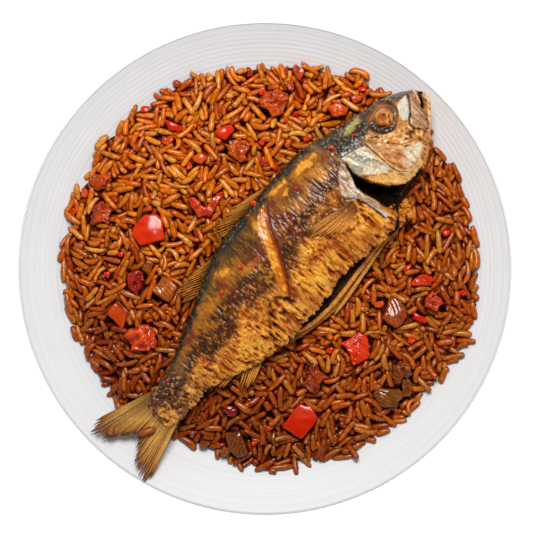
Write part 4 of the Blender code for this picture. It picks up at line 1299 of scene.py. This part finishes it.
onion_flesh = wet_flesh("onion_flesh", 0.75, 0.1, 0.15, 0.004, (1.0, 0.45, 0.15), size=700.0, unevenness=0.12,
                        bump=1.0, depth=0.0009, smoothest=0.14, roughest=0.24)
for seed, (node, (outline, tilt, lines, low, high)) in enumerate(ONIONS.items(), 120):
    petal = cut_wall(f"{node}_petal", outline, ONION_WALL)
    work_surface(petal, seed, 1.6, 0.3, 0.0, low, high, lines)
    lay_in(petal, node, outline, tilt, 0.2)
    settle(petal, onion_flesh, "onion", node)

tomato_flesh = wet_flesh("tomato_flesh", 0.7, 0.09, 0.1, 0.002, (1.0, 0.3, 0.12), size=520.0, unevenness=0.35,
                         bump=1.0, depth=0.0011, smoothest=0.2, roughest=0.35)


def torn_outline(half_x, half_y, seed, count=8):
    """An uneven outline of this many corners round an ellipse."""
    dice = random.Random(seed)
    corners = []
    for k in range(count):
        turn = math.tau * (k + dice.uniform(-0.38, 0.38)) / count
        out = dice.uniform(0.74, 1.14)
        corners.append((half_x * out * math.cos(turn), half_y * out * math.sin(turn)))
    return tuple(corners)


for seed, (node, (lines, low, high)) in enumerate(TOMATOES.items(), 140):
    lowest, highest = (np.array(corner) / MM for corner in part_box(node))
    half_x, half_y, half_z = (highest - lowest) / 2
    outline = torn_outline(half_x, half_y, seed)
    lump = cut_wall(f"{node}_flesh", outline, half_z * 1.5, 1.4)
    work_surface(lump, seed, half_z * 0.3, 0.6, min(2.0, half_z * 0.55), low, high, lines)
    lay_in(lump, node, outline, (0, 0))
    settle(lump, tomato_flesh, "tomato", node)
curl = cut_wall("tomato_skin_curl", SKIN_CURL, 2.6)
work_surface(curl, 230, 0.4, 0.9, 0.6, (178, 26, 6), (222, 76, 28))
lay_in(curl, "tomato_skin", SKIN_CURL, (4, -4), 0.8)
settle(curl, tomato_flesh, "tomato", "tomato_skin")

# Small bits that are no plain solids of their own. Rows are (east, north, half-length, half-width) in millimetres, and
# for the pepper also which of the colour pairs it has.
PEPPER_BITS = (
    (62.7, -19.6, 3.5, 2.5, 0), (77.5, 0.0, 3.0, 3.0, 1), (-1.6, 96.0, 2.7, 2.5, 1),
    (85.6, -7.1, 7.1, 3.8, 1),
    (-65.5, 86.7, 3.3, 2.7, 1), (-73.1, 55.1, 2.5, 1.9, 0), (52.9, 97.6, 2.5, 2.2, 1), (79.6, -39.8, 2.5, 2.2,
    1), (35.5, -44.7, 2.2, 2.2, 1), (22.4, 69.8, 2.2, 1.6, 1), (16.9, 84.0, 2.2, 1.9, 1),
    (-78.5, 7.6, 2.2, 1.9,
    1), (-86.2, -3.8, 2.2, 2.2, 1), (98.7, 19.1, 2.7, 2.2, 1), (108.0, -14.2, 2.7, 2.2, 1), (-2.2, 68.2, 2.5,
    1.9, 1), (6.0, 54.5, 2.2, 1.9, 1), (2.7, -87.3, 2.5, 1.9, 1), (-6.0, -96.0, 2.2, 1.6, 1), (-19.1, -76.9,
    5.5, 1.6, 2),
)
TOMATO_BITS = (
    (-52.9, 69.8, 4.1, 3.0), (18.0, 106.9, 2.7, 4.4), (-98.7, 40.9, 3.0, 2.7), (13.6, 98.7, 2.2, 3.3), (0.0,
    57.3, 3.0, 2.7), (-42.0, 55.1, 2.5, 2.2), (-105.8, 30.5, 2.7, 2.7), (-8.2, 107.5, 2.2, 2.7), (50.2, 92.2,
    3.0, 2.7),
)
ONION_BITS = (
    (-63.8, 0.5, 4.1, 4.9), (78.0, -65.5, 3.8, 6.0), (-21.8, -100.4, 3.8, 2.5), (-33.0, -96.5, 3.8, 2.4),
    (74.2,
    -54.5, 4.4, 3.8),
)
BIT_TONES = (((210, 76, 0), (230, 110, 8)), ((194, 20, 0), (224, 54, 0)), ((96, 10, 0), (150, 30, 4)))


def chop(name, rows, corners, wall, crease, tones, lines, seed):
    """The small bits of one kind, each cut out, worked and laid on the heap, joined as one piece."""
    dice = random.Random(seed)
    bits = []
    for n, (east, north, half_x, half_y, *which) in enumerate(rows):
        low, high = tones[which[0]] if which else tones
        bit = cut_wall(f"{name}_{n}", torn_outline(half_x, half_y, seed + n, corners), wall, 0.3, 2)
        work_surface(bit, seed + n, 0.4, 0.2, crease, low, high, lines)
        height = float(heap_surface(east * MM, north * MM)) + 0.2 * MM
        tilt = (dice.uniform(-0.5, 0.3), dice.uniform(-0.4, 0.4), 0)
        move_points(bit, (east * MM, north * MM, height), tilt)
        bits.append(bit)
    return join(name, bits)


settle(chop("pepper_bits", PEPPER_BITS, 5, 1.8, 0.1, BIT_TONES, None, 310), pepper_flesh, "pepper")
settle(chop("tomato_bits", TOMATO_BITS, 8, 2.6, 0.9, ((150, 30, 0), (222, 88, 12)), None, 340), tomato_flesh,
       "tomato")
settle(chop("onion_bits", ONION_BITS, 6, 2.0, 0.3, ((104, 48, 4), (168, 96, 26)), 1.0, 360), onion_flesh,
       "onion")

# ---- the rice -----------------------------------------------------------------------------------------------------
# Parboiled long-grain rice cooked in a tomato and red pepper sauce until each grain is orange and coated with oil. The
# grains lie as they settled, one on another, round the fish and the vegetables. Deep in the heap they are one mass.
CELL = 0.5 * MM
HALF_CELLS = 266
CORE_DEPTH = 7.0 * MM
GRAIN_LENGTH = 11.3
GRAIN_WIDTH = 3.3
BROKEN_SHARE = 0.14
GRAIN_TONES = (
    ((244, 150, 36), 5), ((240, 134, 18), 7), ((232, 120, 8), 7), ((218, 102, 2), 4), ((228, 110, 6), 3),
    ((204, 80, 0), 1), ((248, 166, 58), 2),
)
# how much the painted shade darkens the rice on the near and right sides of the plate
SIDE_SHADE_STRENGTH = 0.5
MOST_GRAINS = 5200
ROUNDS = 46
DROPS = 260  # grains tried in each round
LAST_ROUNDS = 3  # in these, grains are also laid loose on top of the full heap
LAST_DROPS = 110


def edge_wander(x, y):
    """How far the grains at the heap's edge stray from its outline."""
    return (mottle(x / (7 * MM), y / (7 * MM), 300) - 0.5) * 6 * MM + 1.5 * MM


class Heap:
    """The heights of everything that a falling grain can land on, in cells of half a millimetre."""

    def __init__(self):
        places = (np.arange(2 * HALF_CELLS + 1) - HALF_CELLS) * CELL
        self.x, self.y = np.meshgrid(places, places, indexing="ij")
        radius = np.hypot(self.x, self.y)
        edge = heap_radius(np.arctan2(self.y, self.x))
        edge = edge + edge_wander(self.x, self.y)
        self.room = radius < edge - 1 * MM
        plate_height = plate_surface(radius)
        wanted = np.maximum(heap_surface(self.x, self.y), plate_height + 3 * MM)
        near_edge = smooth_step(edge - 9 * MM, edge - 1.5 * MM, radius)
        self.wanted = wanted + (plate_height + 3.6 * MM - wanted) * near_edge
        hills = mottle(self.x / (13 * MM), self.y / (13 * MM), 301) + 0.7 * mottle(self.x / (6 * MM),
                                                                                   self.y / (6 * MM), 303)
        self.wanted += (hills - 0.85) * 3.2 * MM * (1 - near_edge)
        relief = 1.5 * MM * mottle(self.x / (3 * MM), self.y / (3 * MM), 302)
        self.core = np.maximum(self.wanted - CORE_DEPTH - relief, plate_height + 0.2 * MM)
        self.height = np.where(self.room, self.core, plate_height)
        s, v = to_fish(self.x, self.y)
        under_fish = (s > -17) & (s < 212) & (v < reading(BACK, s)) & (v > reading(LOWER_BELLY, s))
        self.ceiling = np.where(under_fish, fish_underside(s, v) * MM - 0.2 * MM, 1.0)
        self.wanted = np.minimum(self.wanted, self.ceiling)
        self.piece_there = np.zeros(self.x.shape, bool)

    def cells(self, x, y):
        """The cell that holds each place."""
        return np.round(x / CELL).astype(int) + HALF_CELLS, np.round(y / CELL).astype(int) + HALF_CELLS

    def lay_piece(self, points):
        """Raises the heights to the top of a vegetable, from its own points."""
        i, j = self.cells(points[:, 0], points[:, 1])
        np.maximum.at(self.height, (i, j), points[:, 2])
        self.piece_there[i, j] = True

    def rest(self, x, y, turns, length, radius, jam):
        """Where a grain comes to lie: of these places, turns and slopes, about the one whose middle is lowest.

        jam is how far, at each slope, the grains round it may hold it from tipping lower.
        """
        t = np.linspace(-1, 1, 9) * (length / 2 - radius * 0.7)
        i, j = self.cells(x[:, None] + t * np.cos(turns)[:, None], y[:, None] + t * np.sin(turns)[:, None])
        under = self.height[i, j]
        slopes = np.linspace(-0.8, 0.8, 13)
        middles = (under[:, None, :] - slopes[None, :, None] * t).max(axis=2)
        n, best = np.unravel_index(np.argmin(middles + jam), middles.shape)
        return n, middles[n, best] + 0.62 * radius, slopes[best], i[n], j[n], t

    def press(self, x, y, turn, length, radius, middle, slope):
        """Adds a grain's upper side to the heights."""
        i0, j0 = self.cells(x, y)
        around = int(length / 2 / CELL) + 2
        window = (slice(i0 - around, i0 + around + 1), slice(j0 - around, j0 + around + 1))
        east, north = self.x[window] - x, self.y[window] - y
        along = east * math.cos(turn) + north * math.sin(turn)
        off = north * math.cos(turn) - east * math.sin(turn)
        half = length / 2 - radius
        held = np.clip(along, -half, half)
        away = np.hypot(along - held, off) / radius
        top = middle + slope * held + radius * np.sqrt(np.clip(1 - away * away, 0, 1))
        self.height[window] = np.where(away < 1, np.maximum(self.height[window], top), self.height[window])


def pour(heap, seed):
    """Drops grains wherever the heap is still low, until it is full, and gives each one's place and pose."""
    dice = np.random.default_rng(seed)
    colours = [colour for colour, weight in GRAIN_TONES for _ in range(weight)]
    grains = []
    for drop_round in range(ROUNDS):
        low = heap.room & (heap.wanted - heap.height > 1.0 * MM) & ~heap.piece_there
        open_i, open_j = np.nonzero(low)
        last = drop_round >= ROUNDS - LAST_ROUNDS
        if last:
            open_i, open_j = np.nonzero(heap.room & ~heap.piece_there & (heap.ceiling > 0.5))
        for pick in dice.integers(0, len(open_i), LAST_DROPS if last else DROPS):
            x, y = heap.x[open_i[pick], open_j[pick]], heap.y[open_i[pick], open_j[pick]]
            broken = dice.random() < BROKEN_SHARE
            length = float(np.clip(dice.normal(GRAIN_LENGTH * (0.6 if broken else 1), 1.6), 4.6, 14)) * MM
            width = float(np.clip(dice.normal(GRAIN_WIDTH, 0.36), 2.3, 4.1)) * MM
            radius = width / 2 * 0.94
            drift = math.tau * mottle(x / (18 * MM), y / (18 * MM), 310)
            turns = np.concatenate([drift + dice.normal(0, 0.5, 3), dice.uniform(0, math.pi, 4)])
            xs, ys = x + dice.normal(0, 1.3 * MM, 7), y + dice.normal(0, 1.3 * MM, 7)
            jam = dice.uniform(0, 1.3 * MM, 13)
            n, middle, slope, i, j, t = heap.rest(xs, ys, turns, length, radius, jam)
            tops = middle + slope * t + radius
            if (tops > heap.ceiling[i, j]).any() or not heap.room[i[2:-2], j[2:-2]].all():
                continue
            allowed = dice.uniform(1.6, 3.4) if last else dice.uniform(0.3, 2.2)
            if (tops - heap.wanted[i, j]).max() > allowed * MM or heap.piece_there[i, j].sum() > 3:
                continue
            heap.press(xs[n], ys[n], turns[n], length, radius, middle, slope)
            depth = heap.wanted[i[4], j[4]] - middle - radius
            colour = colours[dice.integers(len(colours))]
            pose = (xs[n], ys[n], middle, turns[n], slope, length, width, depth)
            grains.append((*pose, dice.random(), dice.normal(), *tone(*colour)))
    return np.array(grains[:MOST_GRAINS])


def grain_shape():
    """One grain: a ball drawn out along X, round at both ends and a little narrower at one."""
    bpy.ops.mesh.primitive_uv_sphere_add(segments=8, ring_count=9, radius=1,
                                         rotation=(0, math.radians(90), 0))
    grain = bpy.context.object
    bpy.ops.object.transform_apply(location=False, rotation=True, scale=False)
    points = points_of(grain)
    faces = [tuple(face.vertices) for face in grain.data.polygons]
    bpy.data.objects.remove(grain)
    x = np.clip(points[:, 0], -1, 1)
    across = np.hypot(points[:, 1], points[:, 2])
    # Rings move out towards the ends, where the grain is round.
    along = np.sign(x) * np.interp(np.abs(x), (0, 0.174, 0.5, 0.766, 0.94, 1),
                                   (0, 0.28, 0.66, 0.86, 0.965, 1))
    full = np.interp(np.abs(along), (0, 0.28, 0.66, 0.86, 0.965, 1), (1, 1, 0.93, 0.76, 0.44, 0))
    shrink = np.where(across > 1e-4, full / np.maximum(across, 1e-4), 0) * (1 - 0.09 * along)
    return np.stack([along, points[:, 1] * shrink, points[:, 2] * shrink], axis=1), faces


def build_grains(name, grains, shape, faces, bend):
    """All grains of one kind, as one piece."""
    x, y, z, turn, slope, length, width, depth, roll, curl = grains[:, :10].T
    tones = grains[:, 10:] * (0.74 + 0.32 * ((roll * 3.7) % 1))[:, None]
    base = shape[None] * np.stack([length / 2, width / 2, width / 2 * 0.93], axis=1)[:, None, :]
    bow = (bend * (1 + 0.3 * curl) * length / 2)[:, None] * (0.35 - shape[None, :, 0] ** 2)
    tilt = math.tau * roll
    swell = 1 + 0.09 * np.sin(shape[None, :, 0] * 4 + 9 * roll[:, None])
    swell = swell + 0.05 * np.sin(shape[None, :, 0] * 9 + 5 * shape[None, :, 1] + 23 * roll[:, None])
    px = base[..., 0]
    py = base[..., 1] * swell + bow * np.cos(tilt)[:, None]
    pz = base[..., 2] * swell + bow * np.sin(tilt)[:, None] * 0.35
    pitch = np.arctan(slope)[:, None]
    px, pz = px * np.cos(pitch) - pz * np.sin(pitch), px * np.sin(pitch) + pz * np.cos(pitch)
    c, d = np.cos(turn)[:, None], np.sin(turn)[:, None]
    points = np.stack([x[:, None] + px * c - py * d, y[:, None] + px * d + py * c, z[:, None] + pz], axis=-1)
    # grains lying deeper below the heap's top are painted darker and redder: painted shade in the gaps between grains
    sunk = smooth_step(0.2 * MM, 5.4 * MM, depth)[:, None]
    tones = tones * (1 - 0.7 * sunk) * (1 - sunk * np.array([[0.0, 0.62, 0.9]]))
    # The rice on the near side of the plate, away from the lamp, and on its right is painted darker and redder:
    # painted shade.
    near_side = smooth_step(-20 * MM, 90 * MM, -0.35 * x - 0.93 * y)
    right_side = smooth_step(20 * MM, 90 * MM, x - 0.3 * y)
    side_shade = np.maximum(near_side, 0.7 * right_side)[:, None]
    tones = tones * (1 - SIDE_SHADE_STRENGTH * side_shade) * (1 - side_shade * np.array([[0.0, 0.22, 0.4]]))
    s, v = to_fish(x, y)
    # grains just beside the fish's back are painted darker: painted shade along the fish
    back_shade = smooth_step(9, 1, v - reading(BACK, s)) * (v > 0) * (s > 0)
    tones = tones * (1 - 0.35 * back_shade)[:, None]
    # the ends and the underside of each grain are painted darker: painted shade
    ends = 1 - 0.14 * smooth_step(0.7, 1.0, np.abs(shape[:, 0]))
    under = 1 - smooth_step(0.6, -0.5, shape[:, 2])[:, None] * np.array([[0.5, 0.94, 0.99]])
    colours = tones[:, None, :] * (ends[:, None] * under)[None]
    sizes = np.array([len(face) for face in faces])
    flat = np.concatenate([np.array(face) for face in faces])
    copies, count = len(grains), len(shape)
    corners = (flat[None, :] + (np.arange(copies) * count)[:, None]).ravel()
    totals = np.tile(sizes, copies)
    mesh = bpy.data.meshes.new(name)
    mesh.vertices.add(copies * count)
    mesh.vertices.foreach_set("co", points.astype(np.float32).ravel())
    mesh.loops.add(len(corners))
    mesh.loops.foreach_set("vertex_index", corners.astype(np.int32))
    mesh.polygons.add(len(totals))
    mesh.polygons.foreach_set("loop_start", np.concatenate([[0], np.cumsum(totals)[:-1]]).astype(np.int32))
    mesh.update(calc_edges=True)
    paint_points(mesh, colours.reshape(-1, 3))
    mesh.shade_smooth()
    piece = bpy.data.objects.new(name, mesh)
    bpy.context.scene.collection.objects.link(piece)
    return piece


rice_coat = wet_flesh("rice_coat", 0.14, 0.1, 0.0, 0.002, (1.0, 0.4, 0.15), shine=0.3, size=480.0,
                      unevenness=0.34,
                      bump=0.5, depth=0.0005, smoothest=0.12, roughest=0.3)
deepen_edges(rice_coat, (0.52, 0.08, 0.02))
# the mass under the grains is painted dark red-brown, partly the sauce and partly painted shade of the gaps between
# grains
shaded_rice_mass = finish_with_grain(
    principled("shaded_rice_mass", specular_ior_level=0.15), colour=tone(86, 20, 0), size=300.0, unevenness=0.35,
    bump=0.6, depth=0.0006, smoothest=0.5, roughest=0.7,
)


def build_core(heap):
    """The mass of rice under the loose grains, one closed lump with a rough top."""
    rings, turns = 64, 220
    angles = np.arange(turns) * math.tau / turns
    shares = np.linspace(0, 1, rings + 1)[1:] ** 0.8
    outline = heap_radius(angles)
    outline = outline + edge_wander(outline * np.cos(angles), outline * np.sin(angles)) - 3.4 * MM
    radii = shares[:, None] * outline[None, :]
    x, y = radii * np.cos(angles), radii * np.sin(angles)
    i, j = heap.cells(x, y)
    z = np.minimum(heap.core[i, j], heap.ceiling[i, j] - 2 * MM)
    z = np.maximum(z, plate_surface(radii) + 0.8 * MM)
    top = np.concatenate([[[0, 0, heap.core[HALF_CELLS, HALF_CELLS]]],
                          np.stack([x, y, z], axis=-1).reshape(-1, 3)])
    low = np.stack([x[-1], y[-1], plate_surface(radii[-1]) + 0.3 * MM], axis=-1)
    points = np.concatenate([top, low, [[0, 0, WELL_HEIGHT + 0.3 * MM]]])
    faces = []
    for k in range(turns):
        beside = (k + 1) % turns
        faces.append((0, 1 + k, 1 + beside))
        for r in range(rings - 1):
            a = 1 + r * turns
            faces.append((a + k, a + turns + k, a + turns + beside, a + beside))
        a, b = 1 + (rings - 1) * turns, 1 + rings * turns
        faces.append((a + k, b + k, b + beside, a + beside))
        faces.append((b + turns, b + beside, b + k))
    return piece_of("rice_core", points, faces)


heap = Heap()
for piece in list(bpy.context.scene.objects):
    if piece.name.endswith(("_square", "_petal", "_flesh", "_curl", "_bits")):
        heap.lay_piece(points_of(piece))
settle(build_core(heap), shaded_rice_mass, "jollof_rice", "rice")
poured = pour(heap, 17)
shape, shape_faces = grain_shape()
# Two grains dropped on the fish's tail: (east, north, height, turn, length, width) in millimetres, and the colour.
STRAYS = (
    ((-63.8, -88.9, 29.4, 0.35, 9.5, 3.8), (255, 160, 60)),
    ((-83.6, -88.4, 29.2, 1.4, 5.5, 3.4), (244, 150, 60)),
)
strays = [[x * MM, y * MM, z * MM, turn, 0, length * MM, width * MM, -MM, 0.118 * n, 0.5, *tone(*colour)]
          for n, ((x, y, z, turn, length, width), colour) in enumerate(STRAYS)]
poured = np.concatenate([poured, strays])
# Each kind of grain is (name, how far it bends, share of the grains up to and with it).
KINDS = (("rice_straight", 0.03, 0.28), ("rice_bowed", 0.12, 0.56), ("rice_curved", 0.22, 0.82),
         ("rice_crooked", 0.36, 1.0))
kind_of = (poured[:, 8] * 7.31) % 1
from_share = 0.0
for name, bend, to_share in KINDS:
    chosen = poured[(kind_of >= from_share) & (kind_of < to_share)]
    settle(build_grains(name, chosen, shape, shape_faces, bend), rice_coat, "jollof_rice", "rice")
    from_share = to_share

# ---- the loose bits -----------------------------------------------------------------------------------------------
# Small flakes of chilli and pepper left over from the sauce, on the rice and on the fish.
# Rows are (along the fish, across it, half-length, half-width) in millimetres.
FLAKES_ON_FISH = (
    (105.8, 36, 2.3, 1.7), (75, 19, 2.5, 1.0), (57.9, 17.7, 1.6, 1.8), (126.7, 24.7, 1.5, 1.0),
    (155.7, 24.9, 2.4, 1.4),
    (2.4, 8, 1.2, 1.0), (168.6, 20.2, 1.8, 0.8), (113, 17.8, 1.0, 0.8), (79.8, 15.2, 1.2, 0.8),
    (99, 34.5, 1.1, 0.9),
    (154.5, 22, 1.2, 1.0), (174, 21, 1.0, 0.8),
)
FLAKES = 42  # on the fish and on the rice


def flat_bit(name, half_x, half_y, wall, low, high, seed):
    """One flake with an uneven outline, thin and nearly flat."""
    bit = cut_wall(name, torn_outline(half_x, half_y, seed, 6), wall, 0.2, 2)
    work_surface(bit, seed, 0.3, 0.1, 0.15, low, high)
    return bit


def scatter_flakes():
    """The flakes at their places on the fish, and more of them anywhere on the open rice."""
    dice = random.Random(23)
    bits = []
    for n, (s, v, half_x, half_y) in enumerate(FLAKES_ON_FISH):
        bit = flat_bit(f"fish_flake_{n}", half_x, half_y, 1.3, (196, 28, 0), (226, 66, 10), 400 + n)
        move_points(bit, to_plate(s, v, float(fish_top(s, v)) + 0.5), (0.2, 0.1, dice.uniform(0, 6)))
        bits.append(bit)
    while len(bits) < FLAKES:
        angle, out = dice.uniform(0, math.tau), HEAP_RADIUS * 0.97 * math.sqrt(dice.random())
        x, y = out * math.cos(angle), out * math.sin(angle)
        i, j = heap.cells(np.array(x), np.array(y))
        if heap.ceiling[i, j] < 0.5 or heap.piece_there[i, j]:
            continue
        bit = flat_bit(f"crumb_{len(bits)}", dice.uniform(0.9, 2.4), dice.uniform(0.6, 1.3), 1.0,
                       (150, 20, 0), (206, 54, 6),
                       500 + len(bits))
        move_points(bit, (x, y, heap.height[i, j] - 0.4 * MM),
                    (dice.uniform(-0.6, 0.6), dice.uniform(-0.6, 0.6), dice.uniform(0, 6)))
        bits.append(bit)
    return join("pepper_flakes", bits)


settle(scatter_flakes(), pepper_flesh, "pepper")
